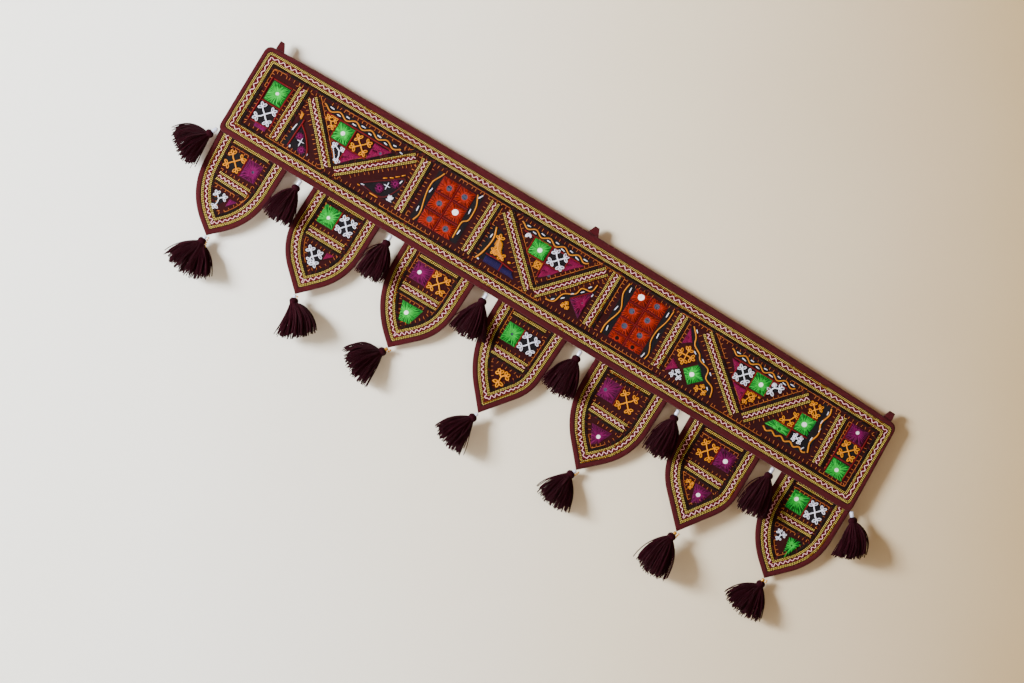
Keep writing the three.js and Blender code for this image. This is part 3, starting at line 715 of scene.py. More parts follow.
# %% Mirror, bead and yarn materials
def mirror_material(name, colour, second, metallic):
    material, tree, shader = blank_material(name, 0.16, Metallic=metallic)
    place = object_place(tree)
    silver = ramp(tree, noise(tree, place, 420, 3), (0.34, screen(*second)), (0.5, screen(*colour)))
    tree.links.new(silver, shader.inputs["Base Color"])
    bump_from(tree, shader, noise(tree, place, 240, 1), 0.08)
    return material


def bead_material(name, colour, second, metallic, roughness):
    material, tree, shader = blank_material(name, roughness, Metallic=metallic, Coat_Weight=0.4)
    place = object_place(tree)
    tone = mixed(tree, noise(tree, place, 900, 2), screen(*colour), screen(*second))
    tree.links.new(tone, shader.inputs["Base Color"])
    bump_from(tree, shader, noise(tree, place, 1500, 2), 0.05)
    return material


def yarn_material():
    material, tree, shader = blank_material("dark_yarn", 0.85, Sheen_Weight=0.03, Sheen_Roughness=0.5)
    shader.inputs["Specular IOR Level"].default_value = 0.08
    place = object_place(tree)
    along = add_node(tree, "ShaderNodeMapping")
    along.inputs["Scale"].default_value = (1.0, 1.0, 0.25)
    tree.links.new(place, along.inputs["Vector"])
    strands = noise(tree, along.outputs["Vector"], 1400, 2)
    stitch = add_node(tree, "ShaderNodeAttribute", attribute_name="shade").outputs["Fac"]
    stitch = math_node(tree, "MULTIPLY", stitch, 0.5)
    share = math_node(tree, "ADD", math_node(tree, "MULTIPLY", strands, 0.6), stitch)
    tone = mixed(tree, share, screen(26, 0, 8), screen(54, 3, 18))
    tree.links.new(tone, shader.inputs["Base Color"])
    bump_from(tree, shader, strands, 0.2)
    return material


MIRROR = mirror_material("silvered_glass", (84, 90, 116), (34, 36, 52), 0.55)
# painted glint: near-white glass for the mirrors that shine
PAINTED_GLINT_MIRROR = mirror_material("glass_with_painted_glint", (244, 244, 248), (206, 206, 222), 0.15)
WHITE_BEAD = bead_material("white_tube_bead", (212, 217, 238), (172, 180, 210), 0.0, 0.2)
GOLD_BEAD = bead_material("gold_seed_bead", (200, 146, 44), (160, 106, 22), 0.6, 0.3)
YARN = yarn_material()
print("materials:", len(bpy.data.materials))

# %% [markdown]
# ## The quilted cloths
# Each cloth is one sheet with its layers quilted together. It is a fine grid between its edges, given its
# thickness by a modifier, whose second material slot becomes the plain backing. The raw edges lie inside
# the bindings, so the band's corners are cut round there.

# %% Cloths
CLOTH = 1.6
FACE = CLOTH / 2
CORNER_ROUND = 6.5
BAND_COLUMNS = 305
BAND_ROWS = 40
PENNANT_COLUMNS = 32


def band_lines():
    edge, seam = ({c: np.array(ring[c]) for c in CORNERS} for ring in (BAND_EDGE, BINDING_SEAM))
    corner = {c: edge[c] * (1 - EDGE_SHARE) + seam[c] * EDGE_SHARE for c in CORNERS}
    height = corner["top_left"][1] - corner["bottom_left"][1]
    lines = []
    for share in np.linspace(0, 1, BAND_ROWS + 1):
        from_edge = min(share, 1 - share) * height
        short = CORNER_ROUND - min(from_edge, CORNER_ROUND)
        pull = CORNER_ROUND - math.sqrt(CORNER_ROUND**2 - short**2)
        left = corner["top_left"] * (1 - share) + corner["bottom_left"] * share + (pull, 0)
        right_end = corner["top_right"] * (1 - share) + corner["bottom_right"] * share - (pull, 0)
        row = left + (right_end - left) * np.linspace(0, 1, BAND_COLUMNS + 1)[:, None]
        lines.append(band.lay(arched(row), 0))
    return np.array(lines)


def pennant_lines(cloth):
    left, right_side = pennant_sides(cloth.pennant, PENNANT_BINDING * EDGE_SHARE)
    across = np.linspace(0, 1, PENNANT_COLUMNS + 1)[:, None, None]
    return cloth.lay(left[None] * (1 - across) + right_side[None] * across, 0)


def quilted_cloth(name, lines, node):
    mesh = mesh_of_lines(name, lines)
    piece = thicken(new_piece(name, mesh, (GROUND, BACKING)), CLOTH, back=1)
    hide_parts(node)
    return piece


quilted_cloth("band_quilted_cloth", band_lines(), "band_cloth")
for cloth in pennant_cloths:
    drop = (PENNANT_TOP - cloth.pennant["tip"][1]) * MM
    quilted_cloth(f"{cloth.name}_quilted_cloth", pennant_lines(cloth), f"{cloth.name}_cloth")
print("cloths:", 1 + len(pennant_cloths))

# %% [markdown]
# ## Bindings
# A binding is a straight strip folded over the raw edge and sewn down on both sides, so it is a soft U in
# section: thickest in the middle, thin at the seams. The section is a closed row of points, each of which
# is carried along its own line round the cloth.

# %% Folded bindings
BINDING_SECTION = (  # share of the width from the edge to the seam, and height in front of the cloth's middle
    (1.0, 0.8), (1.0, 1.25), (0.93, 1.6), (0.76, 1.82), (0.5, 1.8), (0.26, 1.7), (0.08, 1.25), (0.0, 0.45),
    (0.0, -0.45), (0.08, -1.25), (0.26, -1.7), (0.5, -1.8), (0.76, -1.82), (0.93, -1.6), (1.0, -1.25),
    (1.0, -0.8), (0.45, -0.8), (0.45, 0.8),
)


def folded_binding(cloth, line_at):
    lines = [cloth.lay(line_at(share), out) for share, out in BINDING_SECTION]
    lines.append(lines[0])
    mesh = mesh_of_lines(f"{cloth.name}_folded_binding", lines, solid=True)
    piece = new_piece(mesh.name, mesh, (BINDING,))
    node = f"{cloth.name}_binding"
    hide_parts(node)
    run_length(line_at(0.5)) * MM


folded_binding(band, lambda share: band_ring(BAND_EDGE, BINDING_SEAM, share))
for cloth in pennant_cloths:
    folded_binding(cloth, lambda share: pennant_line(cloth.pennant, PENNANT_BINDING * share))
print("bindings:", 1 + len(pennant_cloths))

# %% [markdown]
# ## Trims
# A trim is a ribbon with a crimson middle between two gold lines. Each gold line is two rows of slanted
# stem stitches that look like rope, and a pink thread zigzags over the crimson. All trims are drawn from
# "rails": a rail is a function that gives the line at any distance beside the trim's middle.

# %% Rails of the trims
TRIM_WIDTH = 12.4
SIDE_TRIM_FROM = PENNANT_BINDING + 0.4
DIVIDERS = (  # top and bottom of the middle line, on the flat band
    ((-393.9, -34.4), (-394.4, -103.6)), ((-217.2, -32.6), (-215.6, -99.8)),
    ((-116.4, -33.6), (-117.6, -100.4)), ((58.8, -31.4), (58.8, -100.4)),
    ((156.6, -31.8), (157.6, -99.8)), ((389.8, -35.4), (392.2, -99.6)),
)
CHEVRONS = (  # left top, left foot, right foot, right top
    ((-378, -38.4), (-319.6, -100.2), (-308.4, -99.2), (-231, -36.4)),
    ((-98, -35.8), (-26.1, -99.8), (-17.4, -99.7), (45.4, -35.4)),
    ((193, -35.4), (272.3, -99.2), (284.8, -98), (342, -37.4)),
)


def fine_line(points):
    """The same line with steps no longer than the cloth's."""
    parts = []
    for a, b in zip(points[:-1], points[1:]):
        steps = max(1, round(math.dist(a, b) / FINE_STEP))
        parts.append(straight(a, b, steps))
    return np.vstack([*parts, np.asarray(points[-1:], float)])


def straight_rail(start, end, plan_of=lambda plan: plan):
    return lambda offset: plan_of(fine_line(moved_in((start, end), offset)))


def border_rail(offset):
    return band_ring(TRIM_OUTER, TRIM_INNER, 0.5 + offset / TRIM_WIDTH)


def side_rail(pennant):
    return lambda offset: pennant_line(pennant, SIDE_TRIM_FROM + TRIM_WIDTH / 2 + offset)


def trim_of(name, rail, node, wave=6.6, swing=1.3):
    """A trim: its rail, the solid that it replaces, and the length and height of its zigzag."""
    return {"name": name, "rail": rail, "node": node, "wave": wave, "swing": swing}


band_trims = [trim_of("border_trim", border_rail, "band_border_trim", 8.2, 1.35)]
for i, ends in enumerate(DIVIDERS):
    band_trims.append(trim_of(f"divider_{i + 1}", straight_rail(*ends, arched), f"divider_trim_{i + 1}"))
for i, (left, foot_left, foot_right, right_top) in enumerate(CHEVRONS):
    for arm, ends in (("left", (left, foot_left)), ("right", (foot_right, right_top))):
        rail = straight_rail(*ends, arched)
        band_trims.append(trim_of(f"chevron_{i + 1}_{arm}", rail, f"chevron_trim_{i + 1}"))
pennant_trims = []
for cloth in pennant_cloths:
    cross_rail = straight_rail(*cloth.pennant["cross"])
    pennant_trims.append((
        trim_of("side_trim", side_rail(cloth.pennant), f"{cloth.name}_side_trim", swing=1.4),
        trim_of("cross_trim", cross_rail, f"{cloth.name}_cross_trim", 6.4, 1.2),
    ))
trimmed_cloths = [(band, band_trims), *zip(pennant_cloths, pennant_trims)]
print("trims:", len(band_trims), "on the band and", sum(len(row) for row in pennant_trims), "on the pennants")

# %% [markdown]
# The ribbon itself is a thin flat tube: a closed section carried along the rail. Its edges, which the gold
# lines cover, are dark, and its middle is crimson, so the section's columns get one of two materials.

# %% Ribbons
RIBBON_SECTION = (  # offset from the middle, height in front of the cloth's middle
    (-6.2, 0.85), (-6.2, 1.2), (-5.6, 1.5), (-2.3, 1.65), (0.0, 1.72), (2.3, 1.65), (5.6, 1.5), (6.2, 1.2),
    (6.2, 0.85), (0.0, 0.85),
)
CRIMSON_HALF = 2.6


def ribbon(cloth, trim):
    lines = [cloth.lay(trim["rail"](offset), out) for offset, out in RIBBON_SECTION]
    lines.append(lines[0])
    mesh = mesh_of_lines(f"{cloth.name}_{trim['name']}_ribbon", lines, solid=True)
    piece = new_piece(mesh.name, mesh, (BLACK_CLOTH, CRIMSON))
    edge = cloth.lay(trim["rail"](-CRIMSON_HALF), FACE)
    return piece


def resampled(line, step):
    """Even points along a line, with the direction at each."""
    line = np.asarray(line, float)
    gaps = np.linalg.norm(np.diff(line, axis=0), axis=1)
    runs = np.concatenate([[0], np.cumsum(gaps)])
    count = max(2, round(runs[-1] / step) + 1)
    places = np.linspace(0, runs[-1], count)
    points = np.stack([np.interp(places, runs, line[:, axis]) for axis in range(line.shape[1])], axis=1)
    directions = np.gradient(points, axis=0)
    directions /= np.linalg.norm(directions, axis=1)[:, None]
    return points, directions


def paint_middle(piece, rail, cloth):
    """Gives the faces along the ribbon's middle the crimson material."""
    mesh = piece.data
    centres = np.empty(len(mesh.polygons) * 3)
    mesh.polygons.foreach_get("center", centres)
    plan = centres.reshape(-1, 3)[:, (0, 2)] / MM
    line = resampled(cloth.lay(rail(0), 0)[:, (0, 2)], 1.5)[0]
    chosen = [np.hypot(*(line - place).T).min() < CRIMSON_HALF for place in plan]
    mesh.polygons.foreach_set("material_index", np.array(chosen, int))


for cloth, trims in trimmed_cloths:
    for trim in trims:
        piece = ribbon(cloth, trim)
        paint_middle(piece, trim["rail"], cloth)
        if not trim["name"].endswith("right"):  # the left arm of a V already replaces the solid of both
            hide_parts(trim["node"])
print("ribbons:", sum(len(trims) for _, trims in trimmed_cloths))

# %% [markdown]
# ## Stitches
# A stitch is a short raised bit of thread. Thousands are needed, so one small seed form, a sphere drawn out
# to a rounded bar, is copied by arrays and joined into one mesh. Each copy keeps a number of its own, its
# shade, which the thread materials read, so that no two stitches are quite alike.

# %% The sewing basket
SEED_SHOULDER = 0.36
rng = np.random.default_rng(20)


def stitch_seed():
    bm = bmesh.new()
    bmesh.ops.create_uvsphere(bm, u_segments=4, v_segments=3, radius=0.5)
    for vert in bm.verts:
        flat = math.hypot(vert.co.x, vert.co.y)
        if flat > 0.01:
            vert.co.z = math.copysign(SEED_SHOULDER, vert.co.z)
            vert.co.x *= 0.5 / flat
            vert.co.y *= 0.5 / flat
    bmesh.ops.rotate(bm, matrix=Matrix.Rotation(math.radians(45), 3, "Z"), verts=bm.verts)
    bmesh.ops.triangulate(bm, faces=bm.faces)
    bm.verts.ensure_lookup_table()
    points = np.array([vert.co[:] for vert in bm.verts])
    faces = np.array([[vert.index for vert in face.verts] for face in bm.faces])
    bm.free()
    return points, faces


SEED_POINTS, SEED_FACES = stitch_seed()
print("a stitch has", len(SEED_FACES), "faces")


class Sewing:
    """Collects straight stitches on one cloth, and joins them into one mesh."""

    def __init__(self, cloth):
        self.cloth = cloth
        self.starts, self.ends, self.sizes, self.threads = [], [], [], []

    def add(self, starts, ends, width, thread, out, height=None, end_out=None):
        """Stitches from plan places to plan places. out is how far the middle of a stitch stands in front."""
        starts, ends = np.atleast_2d(starts), np.atleast_2d(ends)
        count = len(starts)
        self.starts.append(self.cloth.lay(starts, out))
        self.ends.append(self.cloth.lay(ends, out if end_out is None else end_out))
        thick = width * 0.8 if height is None else height
        self.sizes.append(np.broadcast_to((width, thick), (count, 2)))
        names = [thread] * count if isinstance(thread, str) else thread
        self.threads.append(np.array([THREAD_NAMES.index(name) for name in names]))

    def piece(self, name, slot="embroidery"):
        starts, ends = np.concatenate(self.starts), np.concatenate(self.ends)
        sizes, threads = np.concatenate(self.sizes), np.concatenate(self.threads)
        along = ends - starts
        length = np.linalg.norm(along, axis=1)[:, None]
        direction = along / np.maximum(length, 1e-6)
        side = np.cross(direction, (0, -1, 0))
        side /= np.linalg.norm(side, axis=1)[:, None]
        front = np.cross(side, direction)
        x, y, z = SEED_POINTS.T
        points = (
            ((starts + ends) / 2)[:, None]
            + side[:, None] * (x[None] * sizes[:, :1])[..., None]
            + front[:, None] * (y[None] * sizes[:, 1:])[..., None]
            + direction[:, None] * (z[None] * length)[..., None]
        )
        faces = SEED_FACES[None] + (np.arange(len(starts)) * len(SEED_POINTS))[:, None, None]
        used, slots = np.unique(threads, return_inverse=True)
        mesh = bpy.data.meshes.new(name)
        mesh.vertices.add(points.shape[0] * points.shape[1])
        mesh.vertices.foreach_set("co", (points * MM).astype(np.float32).ravel())
        flat_faces = faces.reshape(-1, 3)
        mesh.loops.add(flat_faces.size)
        mesh.loops.foreach_set("vertex_index", flat_faces.astype(np.int32).ravel())
        mesh.polygons.add(len(flat_faces))
        mesh.polygons.foreach_set("loop_start", np.arange(0, flat_faces.size, 3, dtype=np.int32))
        mesh.polygons.foreach_set("material_index", np.repeat(slots, len(SEED_FACES)).astype(np.int32))
        shade = mesh.attributes.new("shade", "FLOAT", "POINT")
        shades = np.repeat(rng.random(len(starts)), len(SEED_POINTS)).astype(np.float32)
        shade.data.foreach_set("value", shades)
        mesh.update(calc_edges=True)
        mesh.shade_smooth()
        return new_piece(name, mesh, [THREADS[THREAD_NAMES[i]] for i in used])


# %% [markdown]
# Along a rail, the gold lines are rows of slanted stitches, and so are the black satin stitches inside
# them. The quilting on the dark ground is a thin rust line with a short tick at every few millimetres, like
# a blanket stitch. It comes and goes along the line, as handwork does.

# %% Rows of stitches along a rail
def side_of(directions):
    """To the left of each direction, in the plan."""
    return np.stack([-directions[:, 1], directions[:, 0]], axis=1)


def slanted_row(sewing, line, pitch, length, width, slant, thread, out, height=None, jitter=0.1):
    points, along = resampled(line, pitch)
    turn = math.radians(slant)
    away = side_of(along)
    aim = along * math.cos(turn) + away * math.sin(turn)
    points = points + away * rng.normal(0, jitter, len(points))[:, None]
    reach = aim * length / 2 * rng.uniform(0.88, 1.1, len(points))[:, None]
    sewing.add(points - reach, points + reach, width, thread(len(points)), out, height)


def gold_mix(count):
    """Mostly old gold, with runs of amber where the maker took another thread."""
    places = np.arange(count)
    phase = rng.uniform(0, 6, 3)
    wave = np.sin(places / 23 + phase[0]) + np.sin(places / 9 + phase[1])
    wave += 0.8 * np.sin(places / 61 + phase[2])
    return ["amber" if wave[i] + rng.normal(0, 0.5) > 1.95 else "gold" for i in places]


def black_mix(count):
    return ["maroon" if share > 0.86 else "black" for share in rng.random(count)]


GOLD_OFFSETS = (3.5, 5.15)
GOLD_OUT = 2.0
GOLD_STITCH = {"pitch": 2.25, "length": 1.85, "width": 0.76, "slant": 33, "thread": gold_mix, "height": 0.95,
               "jitter": 0.07}
BLACK_STITCH = {"pitch": 1.5, "length": 4.3, "width": 1.45, "slant": 56, "thread": black_mix, "height": 1.1}
HIDDEN_END = 3.0


def gold_lines(sewing, trim):
    for side in (-1, 1):
        for offset in GOLD_OFFSETS:
            line = np.array(trim["rail"](side * offset), float)
            if sewing.cloth.pennant:  # no stitches stand up behind the band
                line[:, 1] = np.minimum(line[:, 1], PENNANT_TOP - HIDDEN_END)
            slanted_row(sewing, line, out=GOLD_OUT, **GOLD_STITCH)


TICK = {"pitch": 6.1, "width": 0.62, "left_out": 0.04}


def ticks(sewing, line, reach, line_share=0.0):
    """Rust ticks on the left of a line, on its right for a negative reach, and parts of the line itself."""
    points, along = resampled(line, TICK["pitch"])
    points = points + along * rng.normal(0, 0.5, len(points))[:, None]
    length = reach * rng.uniform(0.8, 1.15, len(points))[:, None]
    lean = along * rng.normal(0, 0.5, len(points))[:, None]
    ends = points + side_of(along) * length + lean
    kept = rng.random(len(points)) > TICK["left_out"]
    sewing.add(points[kept], ends[kept], TICK["width"], "rust", FACE + 0.25, 0.7)
    if line_share:
        phase = rng.uniform(0, 6)
        runs = np.sin(np.arange(len(points) - 1) / 4.2 + phase) < line_share * 2 - 1
        if runs.any():
            sewing.add(points[:-1][runs], points[1:][runs], TICK["width"], "rust", FACE + 0.3, 0.75)


def black_row(sewing, line):
    slanted_row(sewing, line, out=FACE + 0.35, **BLACK_STITCH)


BLACK_AT = 8.2
BORDER_TICKS_AT = 10.4
band_gold = Sewing(band)
band_black = Sewing(band)
band_ticks = Sewing(band)
for trim in band_trims:
    gold_lines(band_gold, trim)
black_row(band_black, border_rail(BLACK_AT))
ticks(band_ticks, border_rail(BORDER_TICKS_AT), -4.3, line_share=0.45)
print("stitches on the border:", sum(len(part) for part in band_gold.starts))


# %% [markdown]
# The straight trims have black stitches and the rust line on one side, and ticks on both. On a pennant the
# same rows run inside its side trim and below its cross trim, and one more gold line lies under the band's
# edge.

# %% Rows beside the inner trims
TICKS_AT = 10.6
BARE_SIDE_TICKS_AT = -6.9
for trim in band_trims[1:]:
    rail = trim["rail"]
    black_row(band_black, rail(BLACK_AT))
    chevron = trim["name"].startswith("chevron")
    ticks(band_ticks, rail(TICKS_AT), 3.9, line_share=0.9 if chevron else 0.55)
    ticks(band_ticks, rail(BARE_SIDE_TICKS_AT), -4.0)

PENNANT_TOP_LINES = (  # the gold line under the band's edge: left end, right end
    ((-434, -131.8), (-385.5, -131.4)), ((-297, -131.2), (-247, -131.2)), ((-162, -133), (-110, -132.7)),
    ((-26, -134), (19, -133.6)), ((115, -133.6), (170, -133.2)), ((254, -134), (305, -133.6)),
    ((386, -131.8), (436, -131.6)),
)
PENNANT_ROWS = {"black": 8.0, "ticks": 10.2, "above": 6.8}
TOP_ROWS = {"gold": (1, -1), "black": -3.6, "ticks": -6.2}
pennant_sewing = []
for cloth, (side_trim, cross_trim), top_line in zip(pennant_cloths, pennant_trims, PENNANT_TOP_LINES):
    rows = {"gold": Sewing(cloth), "dark": Sewing(cloth)}
    pennant_sewing.append(rows)
    gold_lines(rows["gold"], side_trim)
    gold_lines(rows["gold"], cross_trim)
    side, cross, top = side_trim["rail"], cross_trim["rail"], straight_rail(*top_line)
    for offset in TOP_ROWS["gold"]:
        slanted_row(rows["gold"], top(offset), out=FACE + 0.5, **GOLD_STITCH)
    black_row(rows["dark"], side(PENNANT_ROWS["black"]))
    ticks(rows["dark"], side(PENNANT_ROWS["ticks"]), 3.6, line_share=0.12)
    black_row(rows["dark"], cross(-PENNANT_ROWS["black"]))
    ticks(rows["dark"], cross(-PENNANT_ROWS["ticks"]), -3.6, line_share=0.15)
    ticks(rows["dark"], cross(PENNANT_ROWS["above"]), 3.4)
    black_row(rows["dark"], top(TOP_ROWS["black"]))
    ticks(rows["dark"], top(TOP_ROWS["ticks"]), -3.8, line_share=0.35)

band_gold.piece("band_gold_lines", "braid")
for cloth, rows in zip(pennant_cloths, pennant_sewing):
    rows["gold"].piece(f"{cloth.name}_gold_lines", "braid")
print("gold lines done")

# %% [markdown]
# ## Cords of thread
# A zigzag or a wavy line is one long thread that is laid on the cloth. Blender's curves are made for this:
# each run of points is a spline, the bevel gives it a round section, and a finished curve becomes a mesh.


# %% Threads as curves
class Cords:
    """Collects long threads, and turns them into one mesh."""

    def __init__(self, name):
        self.curve = bpy.data.curves.new(name, "CURVE")
        self.curve.dimensions = "3D"
        self.curve.bevel_depth = MM
        self.curve.bevel_resolution = 0
        self.curve.use_fill_caps = True
        self.materials = []

    def add(self, points, radii, material, closed=False):
        if material not in self.materials:
            self.materials.append(material)
            self.curve.materials.append(material)
        points = np.asarray(points, float)
        spline = self.curve.splines.new("POLY")
        spline.points.add(len(points) - 1)
        rows = np.concatenate([points * MM, np.ones((len(points), 1))], axis=1)
        spline.points.foreach_set("co", rows.ravel())
        spline.points.foreach_set("radius", np.broadcast_to(radii, len(points)).astype(float).copy())
        spline.material_index = self.materials.index(material)
        spline.use_cyclic_u = closed
        spline.use_smooth = True

    def piece(self, slot):
        name = self.curve.name
        holder = add_object(name + "_curve", self.curve)
        bpy.context.view_layer.update()
        mesh = bpy.data.meshes.new_from_object(holder)
        mesh.name = name
        bpy.data.objects.remove(holder)
        return new_piece(name, mesh, ())


def zigzag(cloth, trim):
    wave = trim["wave"]
    line, along = resampled(trim["rail"](0), wave / 8)
    places = np.arange(len(line))
    phase = places / 8 * 2 * np.pi + 0.9 * np.sin(places / 19 + rng.uniform(0, 6))
    swing = trim["swing"] * (1 + 0.28 * np.sin(places / 11 + rng.uniform(0, 6)))
    drift = 0.3 * np.sin(places / 31 + rng.uniform(0, 6))
    plan = line + side_of(along) * (swing * np.sin(phase) + drift)[:, None]
    return cloth.lay(plan, 2.2)


ZIGZAG_RADIUS = 0.4
for cloth, trims in trimmed_cloths:
    zigzags = Cords(f"{cloth.name}_zigzags")
    for trim in trims:
        zigzags.add(zigzag(cloth, trim), ZIGZAG_RADIUS, THREADS["pink"])
    zigzags.piece("braid")
print("zigzags done")

# %% [markdown]
# ## Tassels
# A tassel is a hank of yarn: bound under a round head, it fans out below. It hangs by a cord, with a white
# tube bead on the edge tassels and small beads at the tips. Each strand of the skirt is a thin curve of its
# own that leaves the head, bows outwards and then falls, so the skirt has the loose uneven end of the real
# one.

# %% Tassel tables
TIP_CORD = 4
EDGE_CORD = 8
HEAD = {"radius": 5.8, "height": 7.4, "yarn": 0.62}
HEAD_YARNS = 46
HEAD_PROFILE = (  # share of the radius, share of the height down
    (0.12, -0.02), (0.62, 0.06), (0.94, 0.3), (1.0, 0.55), (0.88, 0.85), (0.74, 1.02),
)
CORD = {"off_axis": 0.45, "radius": 0.55, "twist": 7}
COLLAR = {"winds": 4, "pitch": 0.75, "radius": 4.5, "yarn": 0.5}
TIP_TASSELS = (  # lean, fan, forward, length
    (-6, (-42, 44), 11, 43), (23, (6, 70), 10, 43), (-28, (-64, 2), 12, 44), (-20, (-46, 10), 10, 43),
    (-22, (-30, 26), 12, 42), (-14, (-24, 18), 10, 50), (0, (-46, 28), 11, 41),
)
EDGE_TASSELS = (  # node, place, lean, fan, forward, length
    ("tassel_left_end", (-460.3, -128.9), -26, (-70, 4), 9, 42),
    ("tassel_gap_1", (-338, -130.2), -2, (-24, 20), 9, 44),
    ("tassel_gap_2", (-207, -130.5), 1, (-16, 22), 9, 46),
    ("tassel_gap_3", (-67.2, -130.7), 0, (-22, 30), 10, 45),
    ("tassel_gap_4", (69.6, -131), 0, (-24, 23), 9, 47),
    ("tassel_gap_5", (211.4, -131.2), 2, (-14, 21), 9, 49),
    ("tassel_gap_6", (349.4, -131.5), 0, (-16, 22), 9, 50),
    ("tassel_right_end", (460.6, -127.7), 38, (0, 46), 9, 44),
)
STRANDS = 240
STRAND_STEPS = 8
STRAND_RADII = np.linspace(0.82, 0.6, STRAND_STEPS)
STRAND_ROOT = 3.6  # from the axis to where the outermost strands leave the neck
STRAND_REACH = (0.83, 1.03)  # shares of the skirt's length, for its uneven end
STRAND_SPREAD = 0.4  # below 0.5 gathers the strands' roots at the neck's rim
GOLDEN_TURN = 2.39996  # spreads the strands evenly round the head
NARROW_FAN = 27  # a skirt that fans out less than this bows outwards first
DEPTH_SPREAD = 11


def turns_round(count):
    """Angles that go once round in even steps."""
    return np.linspace(0, 2 * np.pi, count + 1)[:-1]


def tassel(node, place, lean, fan, forward, length, cord):
    """One tassel: its cord, head and skirt as one piece of yarn."""
    tilt = math.radians(lean)
    axis = np.array([math.sin(tilt), 0, -math.cos(tilt)])
    across = np.array([math.cos(tilt), 0, math.sin(tilt)])
    depth = np.array([0.0, 1.0, 0.0])
    place = np.array(place, float)

    def round_axis(turns):
        return np.multiply.outer(np.cos(turns), across) + np.multiply.outer(np.sin(turns), depth)

    yarn = Cords(node + "_yarn")
    neck = place + axis * (cord + HEAD["height"])
    for turn in (0, math.pi):
        steps = np.linspace(0, 1, 9)
        ply = round_axis(turn + steps * CORD["twist"]) * CORD["off_axis"]
        yarn.add(place + axis * (steps * (cord + 1.5))[:, None] + ply, CORD["radius"], YARN)
    for out in round_axis(turns_round(HEAD_YARNS)):
        line = [place + axis * (cord + HEAD["height"] * down) + out * (HEAD["radius"] - 0.6) * share
                for share, down in HEAD_PROFILE]
        yarn.add(line, HEAD["yarn"], YARN)
    for wind in range(COLLAR["winds"]):
        ring = round_axis(turns_round(14)) * COLLAR["radius"]
        yarn.add(neck + axis * (wind - 2.0) * COLLAR["pitch"] + ring, COLLAR["yarn"], YARN, closed=True)
    centre, spread = (fan[0] + fan[1]) / 2, (fan[1] - fan[0]) / 2
    wide = 1.5 + max(0, NARROW_FAN - spread) / 14
    for i in range(STRANDS):
        share = ((i + 0.5) / STRANDS) ** STRAND_SPREAD
        around = i * GOLDEN_TURN + rng.normal(0, 0.12)
        sideways = math.radians(centre + spread * share * math.cos(around) + rng.normal(0, 3))
        depthwise = math.radians(-forward + DEPTH_SPREAD * share * math.sin(around) + rng.normal(0, 2))
        root = neck - axis * 1.5 + round_axis(around) * STRAND_ROOT * share
        reach = (length + 3) * rng.uniform(*STRAND_REACH)
        steps = np.linspace(0, 1, STRAND_STEPS)
        opening = wide - 2 * (wide - 1) * (steps[:-1] + steps[1:]) / 2
        side_angle, depth_angle = sideways * opening, depthwise * (0.4 + 0.8 * opening)
        flat = np.cos(depth_angle)
        side, down = np.sin(side_angle) * flat, -np.cos(side_angle) * flat
        headings = np.stack([side, np.sin(depth_angle), down], axis=1)
        sway = np.array([rng.normal(0, 0.8), rng.normal(0, 0.4), 0])
        line = root + np.vstack([np.zeros(3), np.cumsum(headings, axis=0)]) * reach / (STRAND_STEPS - 1)
        line = line + sway * np.sin(steps * (4 + 2 * rng.random()))[:, None]
        yarn.add(line, STRAND_RADII, YARN)
    piece = yarn.piece("yarn")
    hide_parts(node)
    return axis


# %% [markdown]
# A bead and a mirror are both short round bars with softened rims, one long and one flat.

# %% Beads
WHITE_TIPS = (0, 1, 3, 4)  # the tips with a white bead; the others have a gold one
GOLD_BEADS = (6, 4, 2, 0, 3, 3, 2)  # small gold beads on a thread beside each tip's cord
GOLD_THREAD_AT = np.array((4.2, -1.5, -0.5))
beads = {"white": bmesh.new(), "gold": bmesh.new()}


def round_bar(bm, centre, axis, radius, length, segments, soft, steps, material=0):
    """A bar round its axis. soft is how far its rims are rounded."""
    place = Matrix.Translation(centre) @ Vector(axis).to_track_quat("Z", "Y").to_matrix().to_4x4()
    inset = soft / math.cos(math.pi / segments)
    bend = np.linspace(0, math.pi / 2, steps + 1)
    rim = list(zip(radius - inset * (1 - np.cos(bend)), length / 2 - soft * (1 - np.sin(bend))))
    rings = []
    for out, up in [(out, -up) for out, up in reversed(rim)] + rim:
        spots = [Vector((out * math.sin(turn), out * math.cos(turn), up)) for turn in turns_round(segments)]
        rings.append([bm.verts.new(place @ spot * MM) for spot in spots])
    faces = [rings[0], rings[-1][::-1]]
    for low, high in zip(rings, rings[1:]):
        faces += zip(low, high, high[1:] + high[:1], low[1:] + low[:1])
    for corners in faces:
        bm.faces.new(corners).material_index = material


def bead(kind, centre, axis, radius, length):
    round_bar(beads[kind], centre, axis, radius, length, 14, radius * 0.42, 3)


